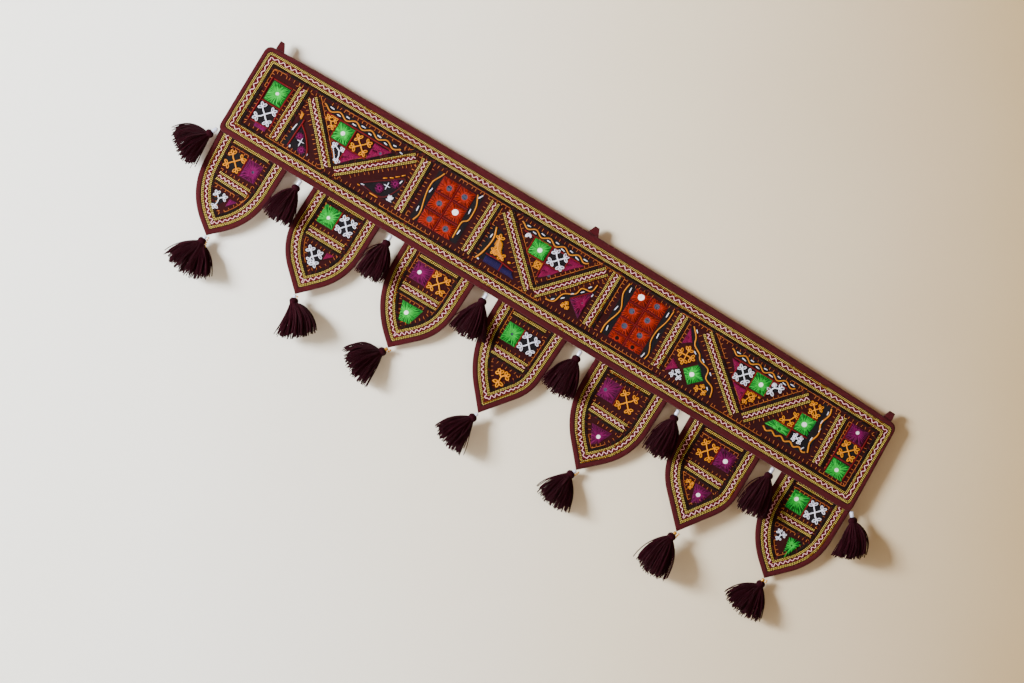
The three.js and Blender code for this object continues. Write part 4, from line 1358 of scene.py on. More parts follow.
for i, (cloth, (lean, fan, forward, length)) in enumerate(zip(pennant_cloths, TIP_TASSELS)):
    x, z = cloth.pennant["tip"]
    place = np.array((x, cloth.depth(x, z), z - 0.6))
    axis = tassel(f"tassel_tip_{i + 1}", place, lean, fan, forward, length, TIP_CORD)
    bead("white" if i in WHITE_TIPS else "gold", place + axis * 2.3, axis, 2.3, 4.8)
    for step in range(GOLD_BEADS[i]):
        drop = np.array((0.15 * step, 0, -2.9)) if i < 2 else axis * 2.4
        bead("gold", place + GOLD_THREAD_AT + drop * step, axis, 1.25, 2.1)
for node, (x, z), lean, fan, forward, length in EDGE_TASSELS:
    place = np.array((x, swell(x, z) - 1, z))
    axis = tassel(node, place, lean, fan, forward, length, EDGE_CORD)
    bead("white", place + axis * 4.2, axis, 2.6, 7.6)
for name, kind, material in (
    ("white_tube_beads", "white", WHITE_BEAD), ("gold_seed_beads", "gold", GOLD_BEAD),
):
    bmesh.ops.recalc_face_normals(beads[kind], faces=beads[kind].faces)
    mesh = mesh_from(name, beads[kind])
    mesh.shade_smooth()
    new_piece(name, mesh, (material,))
print("tassels:", len(TIP_TASSELS) + len(EDGE_TASSELS))

# %% [markdown]
# ## Hanging loops
# The three loops are simple folded strips, and their solids already have that form, so they only get the
# binding's cloth as their material.

# %% Loops
for node in ("hanging_loop_left", "hanging_loop_middle", "hanging_loop_right"):
    mesh = frame["nodes"][node].data
    mesh.materials.clear()
    mesh.materials.append(BINDING)

# %% [markdown]
# ## Mirror work and motifs
# Inside the trims lies the patchwork: small squares and triangles of cloth, each filled with one colour of
# thread round a little mirror, or with a snowflake of looped stitches on black. Everything that is sewn on
# one cloth is gathered by one helper, which holds four layers: patches, stitches, laid threads and mirrors.

# %% Needlework on one cloth
PATCH = 0.4
PATCH_OUT = FACE + PATCH / 2
RAISED = FACE + PATCH + 0.3
CELL = 6.0
RAYS_PER_MM = 1.5
RAY_LEAN = 0.05
SLIT_SHARE = 0.85
SLIT_WIDTH = 0.66
SATIN = {"pitch": 1.05, "length": 9, "width": 1.2}
PETAL = {"length": 6.4, "most": 0.47, "width": 3.9, "spread": 1.3, "radius": 0.6}
BRIGHT_TILT = (Vector((0, -1, 0)) - FILL_TRAVEL).normalized()


def corners_of(centre, size):
    (x, z), (width, height) = centre, size
    return [(x - width / 2, z + height / 2), (x + width / 2, z + height / 2),
            (x + width / 2, z - height / 2), (x - width / 2, z - height / 2)]


def aims_of(turns):
    """Directions in the plan for angles."""
    return np.stack([np.cos(turns), np.sin(turns)], axis=-1)


def circle(centre, radius, count=12):
    return np.asarray(centre) + aims_of(turns_round(count)) * radius


def sides_of(corners):
    """Each corner with the one after it."""
    return zip(corners, np.roll(corners, -1, axis=0))


def edge_distance(centre, aims, corners):
    """How far it is from the centre to the outline, in each direction."""
    nearest = np.full(len(aims), 1e3)
    for a, b in sides_of(corners):
        edge = b - a
        cross = aims[:, 0] * edge[1] - aims[:, 1] * edge[0]
        cross = np.where(abs(cross) < 1e-9, 1e-9, cross)
        to_a = a - centre
        reach = (to_a[0] * edge[1] - to_a[1] * edge[0]) / cross
        share = (to_a[0] * aims[:, 1] - to_a[1] * aims[:, 0]) / cross
        met = (reach > 0) & (share > -0.001) & (share < 1.001)
        nearest = np.where(met, np.minimum(nearest, reach), nearest)
    return nearest


PINE_CLOTH = cloth_material("pine_cloth", (16, 120, 40), (8, 74, 24))
PLUM_CLOTH = cloth_material("plum_cloth", (84, 0, 58), (52, 0, 34))
FLAME_CLOTH = cloth_material("flame_cloth", (104, 10, 0), (70, 5, 0))
UNDER = {"green": PINE_CLOTH, "magenta": PLUM_CLOTH, "rose": PLUM_CLOTH, "flame": FLAME_CLOTH}


class Needlework:
    """The patches, stitches, laid threads and mirrors of one cloth."""

    def __init__(self, cloth):
        self.cloth = cloth
        self.sewing = Sewing(cloth)
        self.laid = Cords(f"{cloth.name}_laid_threads")
        self.patches = bmesh.new()
        self.patch_colours = []
        self.mirrors = bmesh.new()

    def patch(self, corners, material=None):
        """A flat patch, cut into small cells so that it follows the cloth."""
        material = material or BLACK_CLOTH
        if material not in self.patch_colours:
            self.patch_colours.append(material)
        bm = bmesh.new()
        verts = [bm.verts.new((x, 0, z)) for x, z in corners]
        bm.faces.new(verts)
        plan = np.asarray(corners, float)
        for axis, normal in ((0, (1, 0, 0)), (1, (0, 0, 1))):
            low, high = plan[:, axis].min(), plan[:, axis].max()
            for cut in np.arange(low + CELL, high - 1, CELL):
                point = (cut, 0, 0) if axis == 0 else (0, 0, cut)
                everything = bm.verts[:] + bm.edges[:] + bm.faces[:]
                bmesh.ops.bisect_plane(bm, geom=everything, plane_co=point, plane_no=normal)
        bmesh.ops.recalc_face_normals(bm, faces=bm.faces)
        if sum(face.normal.y * face.calc_area() for face in bm.faces) > 0:
            bmesh.ops.reverse_faces(bm, faces=bm.faces)
        for face in bm.faces:
            face.material_index = self.patch_colours.index(material)
        for vert in bm.verts:
            x, _, z = vert.co
            vert.co = Vector((x, self.cloth.depth(x, z) - PATCH_OUT, z)) * MM
        part = mesh_from("part", bm)
        self.patches.from_mesh(part)
        bpy.data.meshes.remove(part)

    def on_patch(self, corners, centre, material):
        """Lays a patch, and gives its corners and its centre for the stitches."""
        corners = np.asarray(corners, float)
        self.patch(corners, material)
        return corners, corners.mean(0) if centre is None else np.asarray(centre, float)

    def thread(self, points, thread, radius=0.75, out=RAISED, closed=False):
        plan = np.asarray(points, float)
        self.laid.add(self.cloth.lay(plan, out), radius, THREADS[thread], closed)

    def line(self, points, thread, radius=0.75):
        """A laid thread that bends softly through its points."""
        points = np.asarray(points, float)
        before, after = points[:1] * 2 - points[1:2], points[-1:] * 2 - points[-2:-1]
        padded = np.vstack([before, points, after])
        soft = []
        for a, b, c, d in zip(padded, padded[1:], padded[2:], padded[3:]):
            t = np.arange(6)[:, None] / 6
            soft.append(0.5 * (2 * b + (c - a) * t + (2 * a - 5 * b + 4 * c - d) * t**2
                               + (3 * b - a - 3 * c + d) * t**3))
        self.thread(np.vstack([*soft, points[-1:]]), thread, radius)

    def seams(self, *lines, radius=0.9):
        """Dark red lines where patches meet."""
        for points in lines:
            self.line(points, "blood", radius)

    def dash(self, centre, turn=0, length=5.5, thread="white", width=1.6):
        aim = aims_of(math.radians(turn)) * length / 2
        self.sewing.add(np.subtract(centre, aim), np.add(centre, aim), width, thread, RAISED + 0.2, 0.9)

    def dashes(self, *places, length=5.5):
        """White dashes. A place may give its own length after its turn."""
        for centre, turn, *own in places:
            self.dash(centre, turn, *(own or (length,)))

    def mirror(self, centre, radius, bright=False):
        """A thin round of glass with a soft rim. A bright one is tilted towards the front light and has a
        painted glint.
        """
        x, z = centre
        slope = Vector((rng.normal(0, 0.02), -1, rng.normal(0, 0.02)))
        aim = BRIGHT_TILT if bright else slope.normalized()
        place = (x, float(self.cloth.depth(x, z)) - FACE - PATCH - 0.35, z)
        # a bright mirror takes the second material, the near-white painted glint
        round_bar(self.mirrors, place, aim, radius, 0.6, 20, 0.15, 1, int(bright))

    def rays(self, corners, thread, centre=None, hole=2.6, mirror=True, bright=False, backing=None,
             width=1.35):
        """Stitches from the outline to a mirror's rim, as in buttonholing, with dark slits between them."""
        corners, centre = self.on_patch(corners, centre, backing or UNDER.get(thread))
        size = math.sqrt(abs(sum(a[0] * b[1] - a[1] * b[0] for a, b in sides_of(corners))) / 2)
        count = int(size * RAYS_PER_MM)
        turns = (np.arange(count) + rng.uniform(-0.45, 0.45, count)) / count * 2 * np.pi
        aims = aims_of(turns)
        reach = edge_distance(centre, aims, corners) * rng.uniform(0.95, 1.04, count)
        inner = hole + rng.uniform(0, 0.6, count)
        feet = centre + aims_of(turns + RAY_LEAN) * inner[:, None]
        self.sewing.add(centre + aims * reach[:, None], feet, width, thread, RAISED, 1.0, RAISED + 0.35)
        aims = aims_of(turns + np.pi / count)  # shorter rays between the long ones
        half_way = centre + aims * (reach * rng.uniform(0.42, 0.56, count))[:, None]
        feet = centre + aims * inner[:, None]
        self.sewing.add(half_way, feet, width, thread, RAISED - 0.1, 0.9, RAISED + 0.3)
        slits = rng.random(count) < SLIT_SHARE
        outer, middle = reach * rng.uniform(0.82, 0.97, count), reach * rng.uniform(0.58, 0.7, count)
        aims = aims[slits]
        heads, feet = centre + aims * outer[slits, None], centre + aims * middle[slits, None]
        self.sewing.add(heads, feet, SLIT_WIDTH, "black", RAISED + 0.5, 0.8)
        self.thread(circle(centre, hole + 0.35), thread, 0.6, RAISED + 0.45, closed=True)
        if mirror:
            self.mirror(centre, hole + 0.5, bright)

    def filled(self, corners, thread, turn=90, backing=None):
        """Flat satin stitches side by side over a patch."""
        corners = np.asarray(corners, float)
        self.patch(corners, backing)
        aim = aims_of(math.radians(turn))
        away = np.array([-aim[1], aim[0]])
        spans = corners @ away
        starts, ends = [], []
        for place in np.arange(spans.min() + SATIN["pitch"] / 2, spans.max(), SATIN["pitch"]):
            crossings = []
            for a, b in sides_of(corners):
                low, high = a @ away, b @ away
                if (low - place) * (high - place) < 0:
                    point = a + (b - a) * (place - low) / (high - low)
                    crossings.append(point @ aim)
            for low, high in zip(*[iter(sorted(crossings))] * 2):
                parts = max(1, round((high - low) / SATIN["length"]))
                stops = np.linspace(low, high, parts + 1)
                stops[1:-1] += rng.uniform(-2, 2, parts - 1)
                for a, b in zip(stops, stops[1:]):
                    starts.append(away * place + aim * a)
                    ends.append(away * place + aim * b)
        self.sewing.add(starts, ends, SATIN["width"], thread, RAISED, 0.9)

    def petal(self, root, turn, length, width, thread, radius=0.72):
        """A small closed loop of thread."""
        aim = aims_of(turn)
        away = np.array([-aim[1], aim[0]])
        around = turns_round(8)
        swollen = width / 2 - radius
        loop = (np.asarray(root) + aim * length / 2
                - aim * (np.cos(around) * (length / 2 - radius))[:, None]
                + away * (np.sin(around) * swollen)[:, None])
        self.thread(loop, thread, radius, RAISED + 0.15, closed=True)

    def flake(self, corners, thread, centre=None, size=1.0, backing=None, tips=None):
        """Looped stitches: thick stems to the corners of a patch, each with three petals at its end."""
        corners, centre = self.on_patch(corners, centre, backing)
        for corner in (corners if tips is None else np.asarray(tips, float)):
            reach = np.linalg.norm(corner - centre)
            aim = (corner - centre) / reach
            turn = math.atan2(aim[1], aim[0])
            petal = min(PETAL["length"] * size, reach * PETAL["most"])
            fork = centre + aim * (reach - petal * 1.22)
            bow = np.array([-aim[1], aim[0]]) * rng.normal(0, 0.5)
            stem = [centre - aim * 0.5, (centre + fork) / 2 + bow, fork]
            self.thread(stem, thread, 0.8 * size, RAISED + 0.2)
            for side in (-1, 0, 1):
                lean = side * PETAL["spread"] + rng.normal(0, 0.12)
                self.petal(fork, turn + lean, petal, PETAL["width"] * size, thread, PETAL["radius"] * size)

    def ring(self, centre, thread, outer=4.3, hole=1.5):
        self.rays(circle(centre, outer), thread, centre, hole, mirror=False, width=1.0)

    def finish(self):
        """Makes the pieces of the four layers, and gives the patches' area."""
        name = self.cloth.name
        mesh = mesh_from(f"{name}_patches", self.patches)
        area = sum(face.area for face in mesh.polygons)
        patches = thicken(new_piece(mesh.name, mesh, self.patch_colours), PATCH)
        self.sewing.piece(f"{name}_embroidery")
        self.laid.piece("embroidery")
        mesh = mesh_from(f"{name}_mirrors", self.mirrors)
        if len(mesh.polygons):
            new_piece(mesh.name, mesh, (MIRROR, PAINTED_GLINT_MIRROR))
        return area


work = Needlework(band)
print("needlework helper ready")

# %% [markdown]
# ### The left end of the band
# A green square and a white snowflake on black stand between the border and the first trim. Right of that
# trim is a dark triangle with two small rings and a cross.

# %% Left end and left of the first V
work.rays(corners_of((-418.5, -54.5), (23.5, 26)), "green", (-418.5, -53.5), 2.3, bright=True)
work.flake(corners_of((-419, -83.5), (25.5, 25)), "white")
work.filled(corners_of((-416, -100), (16, 6)), "magenta")
work.seams([(-434, -38.5), (-433.5, -70), (-434, -99)], [(-404, -40), (-405.5, -70), (-404.5, -97)],
           [(-432, -69.3), (-406, -69)], [(-432, -39.5), (-406, -39)], [(-431, -97.5), (-407, -97)])
work.patch([(-377, -62), (-384, -103), (-346, -103)])
work.filled([(-381, -57), (-377, -57), (-377.5, -66), (-380, -64)], "orange")
work.dash((-379, -77.5), 80, 11, width=1.5)
work.seams([(-373, -64), (-374, -84), (-375, -102)], [(-373, -70), (-362, -79), (-352, -92), (-348, -101)],
           radius=1.0)
work.ring((-367.5, -84.5), "magenta", 5.4)
work.ring((-357, -98), "magenta", 5.4)
work.dash((-363, -90), 92, 12.5, width=1.2)
work.dash((-363, -89.5), 2, 10, width=1.1)
for spot in ((-372, -101), (-348, -99.5)):
    work.dash(spot, 100, 3.2, width=2.2)
print("left end done")

# %% [markdown]
# ### The Vs
# Each V holds a wavy laid thread with white dashes on a black strip, and patches that fill its point. The
# wave is a real sine, drawn as a laid thread.


# %% The wavy lines
WAVY_SWING = 2.5
WAVY_STRIP = 4.6  # half of the black strip's height


def wavy(start, end, level, period):
    """A wavy thread on its black strip, with white dashes in its hollows."""
    low, high = level - WAVY_STRIP, level + WAVY_STRIP
    work.patch([(start - 2, high), (end + 2, high), (end - 6, low), (start + 6, low)])
    places = np.arange(start, end, 1.6)
    phase = (places - start) / period * 2 * np.pi
    drift = 0.4 * np.sin(places / 17)
    work.thread(np.stack([places, level + WAVY_SWING * np.cos(phase) + drift], axis=1), "amber", 0.8)
    for i, place in enumerate(np.arange(start + period * 0.25, end - 2, period / 2)):
        side = -1 if i % 2 else 1
        spot = (place + period * 0.25, level + side * WAVY_SWING * 0.75)
        work.dash(spot, rng.normal(-3, 5), rng.uniform(4.6, 7.0))
    work.seams([(start + 8, low - 0.8), ((start + end) / 2, low - 0.6), (end - 10, low - 0.4)])


def wave_along(points, period, swing):
    line, along = resampled(fine_line(points), 1.5)
    phase = np.arange(len(line)) * 1.5 / period * 2 * np.pi
    work.thread(line + side_of(along) * (swing * np.sin(phase))[:, None], "amber", 0.95)


wavy(-362, -251, -35.2, 22.6)
wavy(-76, 22, -34.0, 20.5)
wavy(229, 323, -33.8, 19.5)
print("wavy lines done")

# %% In the first V
work.flake([(-353, -41), (-336, -41), (-336, -58)], "orange", (-344, -48), 0.85, GROUND)
work.rays(corners_of((-323.5, -54), (22.5, 23)), "green", (-323.5, -53.5), 2.9, bright=True)
work.flake(corners_of((-297, -54.5), (24, 23)), "orange", backing=GROUND)
work.filled([(-283, -42.5), (-259, -42.5), (-283, -66.5)], "rose")
work.mirror((-271, -50.5), 2.6)
work.ring((-271, -50.5), "rose", 4.0, 2.2)
work.flake([(-329.5, -68.5), (-311, -68), (-311, -91.5)], "white", (-316.5, -74.5), 0.85)
work.dash((-320.5, -80.5), -52, 27, width=1.2)
work.filled([(-309.5, -67.5), (-289, -67.5), (-309.5, -89.5)], "rose")
work.seams([(-334.7, -41.5), (-335, -66)], [(-311, -42), (-310.7, -67), (-310.3, -88)],
           [(-334, -66.8), (-284, -66.8)])
print("first V done")

# %% Right of the first V
work.patch([(-276, -97.5), (-226, -59.5), (-226, -97.5)])
work.line([(-270.5, -92.5), (-248, -76), (-228, -62.5), (-228.5, -77), (-242, -96.5), (-271, -95.5)],
          "maroon", 0.9)
work.ring((-235.5, -73.5), "magenta", 6.2)
work.ring((-249.5, -88), "magenta", 6.2)
work.dash((-243, -81), 92, 11, width=1.2)
work.dash((-243, -81), 2, 9.5, width=1.1)
work.dash((-230.5, -68), 75, 5)
work.dash((-270, -95), 10, 5)
for turn in (60, 90, 120):
    work.petal((-232, -95), math.radians(turn), 7, 3, "white")
work.dash((-232, -95.5), 0, 8, width=1.5)
for start, end in (((-252.5, -75.5), (-247.5, -72)), ((-245.5, -70.5), (-241, -68)),
                   ((-240, -66), (-235, -62.5)), ((-234, -61), (-230, -57.5)),
                   ((-276, -98), (-272, -98)), ((-258, -99.5), (-245, -99.5))):
    work.sewing.add(start, end, 1.5, "orange", RAISED)

# %% In the second V
work.petal((-63.5, -46), 1.1, 8.5, 4.2, "white", 0.9)
work.petal((-60, -39.5), -0.9, 5.5, 3, "white", 0.75)
work.rays(corners_of((-40, -49.5), (23, 23)), "green", (-39, -51), 3.3, bright=True)
work.flake(corners_of((-13.5, -49.5), (23, 23.5)), "white")
work.filled([(-0.5, -39.5), (18.5, -39.5), (-0.5, -59)], "rose")
work.flake(corners_of((-32, -68), (10.5, 10)), "orange", size=0.62, backing=GROUND)
work.filled([(-25, -62.5), (-5, -62), (-12, -72), (-24, -82)], "rose")
work.mirror((-13, -72.5), 1.9)
work.seams([(-52.3, -39), (-52.3, -61)], [(-26.7, -38.8), (-26.5, -61), (-26, -80)],
           [(-52, -61.8), (-4, -61.5)], [(-1.4, -39), (-1.4, -60)])
print("second V done")

# %% [markdown]
# ### The red panels and the cells beside them
# Two panels have flame red squares in pairs, each worked round a mirror. Wavy amber threads run down beside
# them on black, with white dashes in the hollows.


# %% The red panels
def red_panel(squares, mirrors, bright=(), empty=()):
    """Red squares round their mirrors. A bright one shows the light with a painted glint, and an empty one
    has a black round.
    """
    for i, ((left, right_side, top, bottom), place) in enumerate(zip(squares, mirrors)):
        corners = [(left, top), (right_side, top), (right_side, bottom), (left, bottom)]
        blind = i in empty
        work.rays(corners, "flame", place, 3.0 if blind else 4.0, not blind, i in bright, width=1.5)
        if blind:
            work.thread(circle(place, 1.5, 10), "black", 1.5, closed=True)


PANEL_1_ROWS = ((-33, -53), (-56, -76.5), (-80, -99))
PANEL_1_COLUMNS = ((-188.5, -166.5), (-164.5, -142))
squares = [(*column, *row) for row in PANEL_1_ROWS for column in PANEL_1_COLUMNS]
work.patch([(-197, -30.5), (-189, -30.5), (-189, -99.5), (-199.5, -99.5)])
work.patch([(-141.5, -30.5), (-132.5, -30.5), (-132.5, -99), (-141.5, -99)])
red_panel(squares, (
    (-175, -43.5), (-153, -43), (-176, -66), (-153, -65), (-176.5, -89), (-153, -89),
), bright=(3,))
work.line([(-189.5, -31), (-192.5, -37.5), (-197, -47), (-197, -59.5), (-194.5, -72), (-191.5, -83.5),
           (-191, -92), (-194, -100)], "amber", 0.8)
work.line([(-140.5, -32), (-134.5, -45.5), (-133.5, -60.5), (-135, -66.5), (-140, -71.5), (-140.2, -84),
           (-140, -94)], "amber", 0.8)
work.dashes(((-193.5, -57), 80), ((-196, -85), 95), ((-138.5, -55), 95), ((-137, -84), 85),
            ((-136, -32.5), 60), length=7.5)
work.seams([(-165.5, -32), (-165.4, -66), (-165.7, -99.5)], radius=0.8)
for row in (-54.5, -78.3):
    work.line([(-189, row), (-142, row)], "blood", 0.8)

# %% The second red panel
PANEL_2_ROWS = ((-28.5, -45.5), (-48, -67.5), (-69.5, -87), (-89, -98.5))
PANEL_2_COLUMNS = ((88.5, 109.5), (112, 134.5))
squares = [(*column, *row) for row in PANEL_2_ROWS for column in PANEL_2_COLUMNS]
work.patch([(77, -28.5), (88, -28.5), (88, -99), (77, -99)])
work.patch([(135, -29), (145, -29), (145, -99), (135, -99)])
red_panel(squares, (
    (99.5, -35.5), (122, -35.5), (98, -56.5), (120.5, -56.5), (99.5, -77), (122, -77.5), (99.5, -94.5),
    (122, -94.5),
), bright=(0,), empty=(6, 7))
work.line([(78.5, -28.5), (77.5, -43), (84.5, -59), (84.5, -68), (78.5, -86.5), (78.5, -99)], "amber", 0.8)
work.line([(143, -30), (142, -45), (137.5, -61), (137.5, -76), (143, -90), (142, -99.5)], "amber", 0.8)
work.dashes(((83, -35), 95), ((79.5, -63), 80), ((82.5, -90), 100), ((138.5, -37.5), 90), ((141.5, -66), 95),
            ((138, -96), 80), length=7.5)
work.seams([(110.8, -29), (110.8, -66), (110.8, -99)], radius=0.8)
for row in (-46.7, -68.5, -88):
    work.line([(89, row), (134, row)], "blood", 0.8)
print("panels done")

# %% Left and right of the second V
work.patch([(-104, -52), (-89, -56), (-66, -92), (-106, -100)])
work.line([(-99.5, -54), (-95.5, -69), (-98.5, -89), (-103, -100)], "amber", 1.1)
work.dash((-99.8, -66.5), 85, 6)
work.dash((-99.5, -99.5), 0, 2.6, width=2.2)
work.filled([(-90, -64), (-82, -67), (-79, -76), (-72.5, -85), (-90, -84.5)], "orange", 55)
work.flake([(-91, -57), (-70, -87), (-91, -87)], "orange", (-84, -77), 1.0, GROUND)
work.filled([(-91, -60), (-85, -68), (-91, -75)], "orange")
work.dash((-63.5, -84), 20, 4.2, "orange", 3.0)
work.filled([(-93, -90), (-71, -89.8), (-71, -99.5), (-93, -99.5)], "navy", backing=NAVY_CLOTH)
work.filled([(-69, -92), (-55, -92), (-48.5, -99.5), (-69, -99.5)], "navy", backing=NAVY_CLOTH)
work.seams([(-94.5, -88.5), (-72, -88.2), (-54, -90.5)], [(-70, -89), (-69.8, -100)], radius=0.95)
work.patch([(47, -52), (47, -64), (24, -84), (2, -99.5), (-4, -98), (20, -77)])
work.line([(45, -51), (42.5, -61.5), (30.5, -64.5), (27, -74.5), (14, -82.5), (8.5, -96), (-2, -99)],
          "amber", 0.8)
work.rays([(45.5, -62), (24, -83.5), (45, -99.5)], "rose", (40, -80), 1.3)
work.flake([(17, -99), (30, -99), (23.5, -85.5)], "orange", (23.5, -93), 0.8, GROUND,
           ((17, -96), (29.5, -96.5), (23.5, -86.5)))
work.dashes(((46, -65.5), 80, 4), ((38.5, -58), 50, 5), ((33.5, -68), 45, 5), ((23.5, -76.5), 45, 5),
            ((16, -87), 45, 5.5), ((6, -94.5), 50, 5))
work.seams([(44, -62), (24, -83)], radius=0.85)
print("second V's sides done")

# %% In the third V and beside it
DIAMOND = 14.5
work.patch([(172, -31), (184, -42), (200, -58), (218, -69), (238, -96), (230, -97), (194, -62), (172, -40)])
work.line([(174, -32.5), (183, -42.5), (187, -52), (197.5, -58.5), (202.5, -65), (216.5, -69.5), (220, -80.5),
           (232.5, -86.5), (236.5, -98)], "amber", 0.8)
work.filled([(171.5, -35.5), (182.3, -50.7), (171.5, -59)], "rose", backing=PLUM_CLOTH)
work.filled([(172, -79), (183.5, -87.2), (170.9, -98)], "rose", backing=PLUM_CLOTH)
diamond = [(184, -68.5 + DIAMOND), (184 + DIAMOND, -68.5), (184, -68.5 - DIAMOND), (184 - DIAMOND, -68.5)]
work.flake(diamond, "orange", backing=GROUND)
diamond = [(204, -84.5 + DIAMOND), (204 + DIAMOND, -84.5), (204, -84.5 - DIAMOND), (204 - DIAMOND, -84.5)]
work.rays(diamond, "green", (202.5, -85), 3.0, bright=True)
work.flake([(176, -99), (185.5, -87), (195, -99)], "white", (185.5, -95), 0.75)
work.flake([(212, -99), (221.5, -87), (231, -99)], "orange", (221.5, -95), 0.75, GROUND)
work.dashes(((180.5, -36), -45), ((192, -60), -35), ((206, -63.5), -35), ((222, -73), -40),
            ((228, -90.5), -45), length=5)
work.filled([(235, -41.5), (246, -41.5), (246, -54.5)], "rose")
work.flake(corners_of((257.5, -52.5), (22, 22.5)), "white")
work.rays(corners_of((281.5, -51), (23, 22.5)), "green", (282.5, -51.5), 3.1, bright=True)
work.flake([(294.5, -40.5), (312, -40), (294.5, -60)], "white", (299.5, -46), 1.1)
work.filled([(250, -66), (270, -66), (270, -83)], "rose")
work.flake([(272, -65), (286, -65), (286, -76), (274, -84)], "orange", (278.5, -72), 0.75, GROUND)
work.dash((289, -66.5), 0, 3.6, "orange", 3.0)
work.seams([(246.4, -40), (246.4, -62)], [(269.5, -39.5), (270.6, -63), (271, -84)],
           [(293.5, -39.5), (293.4, -62)], [(248, -64.4), (292, -64)])
print("third V done")

# %% Right of the third V, and the right end
work.patch([(361, -30), (376, -30), (376, -96), (361, -96)])
work.flake([(347, -34), (365.5, -34), (365.5, -53), (351, -53)], "orange", (356.5, -43.5), 0.85, GROUND)
work.rays(corners_of((355, -65.5), (21, 23.5)), "green", (354.5, -66), 3.4, bright=True)
work.flake([(343, -56.5), (343, -78), (323.5, -78)], "orange", (336, -70.5), 0.9, GROUND)
work.rays([(319, -80), (343, -80), (343, -90), (311, -90)], "green", (331, -86.5), 2.4, mirror=False)
work.flake(corners_of((356, -85.5), (20, 11)), "white", size=0.72,
           tips=((348, -81.5), (348, -90), (364, -81.5), (364, -90)))
wave_along([(373.5, -32), (374, -94)], 28, 1.9)
work.patch([(313, -92), (372, -92), (372, -98.5), (317, -98.5)])
wave_along([(373, -95), (311, -95.2)], 13, 1.7)
work.dashes(((372.5, -39), 95), ((371.5, -52), 85), ((374.5, -62), 90), ((371, -77), 85),
            ((367.5, -92.5), 60))
work.seams([(343.8, -54), (344, -91)], [(345, -54), (366, -53.7)], [(320, -79), (366, -78.8)])
work.rays(corners_of((417, -43.5), (23.5, 20)), "magenta", (416.5, -40.5), 2.4, bright=True)
work.patch(corners_of((418.5, -66), (31, 26)))
work.flake(corners_of((418.5, -66), (23.5, 22)), "orange")
work.rays(corners_of((418.5, -92.5), (23.5, 21)), "green", (418, -93.5), 2.8, bright=True)
work.seams([(405, -54), (431, -54)], [(405, -79.6), (431, -79.4)], [(431, -36), (431.3, -70), (430.7, -101)],
           [(404.5, -34), (404.8, -70), (405, -101)])
sewn_area = work.finish()
print("patches on the band:", round(sewn_area * 1e4), "square centimetres")

# %% [markdown]
# ### The pennants
# Each pennant has two squares between its cross trim and the band, and a small motif below the cross trim.
# Dark red lines part them.


# %% Pennant motifs
first, second, third, fourth, fifth, sixth, seventh = (Needlework(cloth) for cloth in pennant_cloths)
first.flake(corners_of((-421, -153), (23.5, 25)), "orange")
first.rays(corners_of((-396.5, -153), (21, 25)), "magenta", (-394.5, -153), 2.0)
first.flake([(-424, -194.5), (-404, -194.5), (-414, -219)], "white", (-414, -202.5), 0.85)
first.filled([(-402, -195.5), (-391.5, -195.5), (-402, -208)], "magenta", 90)

second.rays(corners_of((-285, -151), (22.5, 25)), "green", (-285, -152.5), 2.3, bright=True)
second.flake(corners_of((-260.5, -150.5), (22, 24)), "white")
second.flake([(-289, -192.5), (-266, -192.5), (-266, -216), (-278, -216)], "white", (-277, -204))
second.filled([(-264.5, -190), (-253.5, -190), (-264.5, -202)], "rose", 90)

third.rays(corners_of((-150, -151.5), (23.5, 25)), "magenta", (-153, -151.5), 2.6, bright=True)
third.flake(corners_of((-125, -152), (23.5, 26)), "orange", backing=GROUND)
third.rays([(-153, -192), (-124, -191), (-131, -214), (-145, -215.5)], "green", (-141, -203), 2.8,
           bright=True)

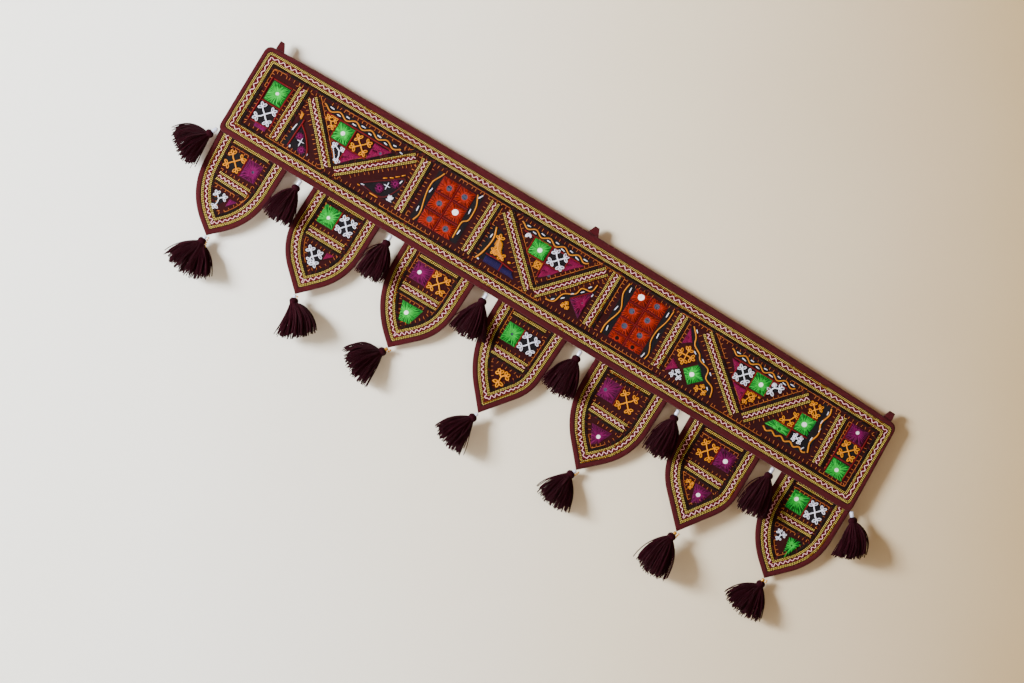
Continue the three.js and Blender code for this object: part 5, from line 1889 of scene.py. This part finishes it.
fourth.rays(corners_of((-14.5, -158), (21.5, 25)), "green", (-14.5, -158), 2.3, mirror=False)
fourth.mirror((-14.5, -158), 1.5)
fourth.flake(corners_of((9.5, -158), (22.5, 25)), "white")
fourth.flake([(-8, -202), (12, -202), (2, -227)], "orange", (1.5, -210.5), 1.25, GROUND)

fifth.rays(corners_of((125.5, -155), (22.5, 26)), "magenta", (120.5, -157), 2.6)
fifth.flake(corners_of((151.5, -156.5), (23.5, 26)), "orange", backing=GROUND)
fifth.rays([(128, -201), (156, -200), (148, -219), (140, -225)], "magenta", (143.5, -211.5), 2.6, bright=True)

sixth.flake(corners_of((268.5, -156), (22.5, 25)), "orange", backing=GROUND)
sixth.rays(corners_of((293, -155.5), (23.5, 24)), "magenta", (294.5, -156), 3.2, bright=True)
sixth.flake([(264, -198.5), (275.5, -198.5), (275.5, -209)], "orange", (271.5, -203), 0.7, GROUND)
sixth.rays([(276.5, -198), (300, -198), (294, -217), (284, -222)], "magenta", (287, -209), 2.7, bright=True)

seventh.rays(corners_of((398, -153), (23, 25)), "green", (394.5, -150), 2.9, bright=True)
seventh.flake(corners_of((423, -152.5), (23, 25)), "white")
seventh.flake([(394, -192.5), (408, -193.5), (400, -208)], "white", (401, -199), 0.7)
seventh.rays([(411, -194.5), (431, -192.5), (417, -225)], "green", (419.5, -203), 1.4, False,
             backing=BLACK_CLOTH, width=1.0)
SQUARES_PART = (  # ends of the dark red line between the two squares
    ((-408.3, -140), (-408.3, -166)),
    ((-272.8, -138), (-272.6, -164)),
    ((-137.6, -138.5), (-137.5, -165)),
    ((-2.8, -145), (-2.6, -171)),
    ((138.3, -142), (138.6, -169)),
    ((280.6, -143), (280.8, -169)),
    ((410.6, -140), (410.7, -166)),
)
for needlework, ends in zip((first, second, third, fourth, fifth, sixth, seventh), SQUARES_PART):
    needlework.seams(ends, radius=0.85)
    needlework.finish()
print("pennants done")

# %% The last stitches of the rows
band_black.piece("band_black_stitches")
band_ticks.piece("band_line_stitches")
for cloth, rows in zip(pennant_cloths, pennant_sewing):
    rows["dark"].piece(f"{cloth.name}_line_stitches")

# %% Measure and finish
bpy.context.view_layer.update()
faces = sum(len(made.data.polygons) for made in bpy.data.objects if made.type == "MESH")
print("faces in all:", faces)
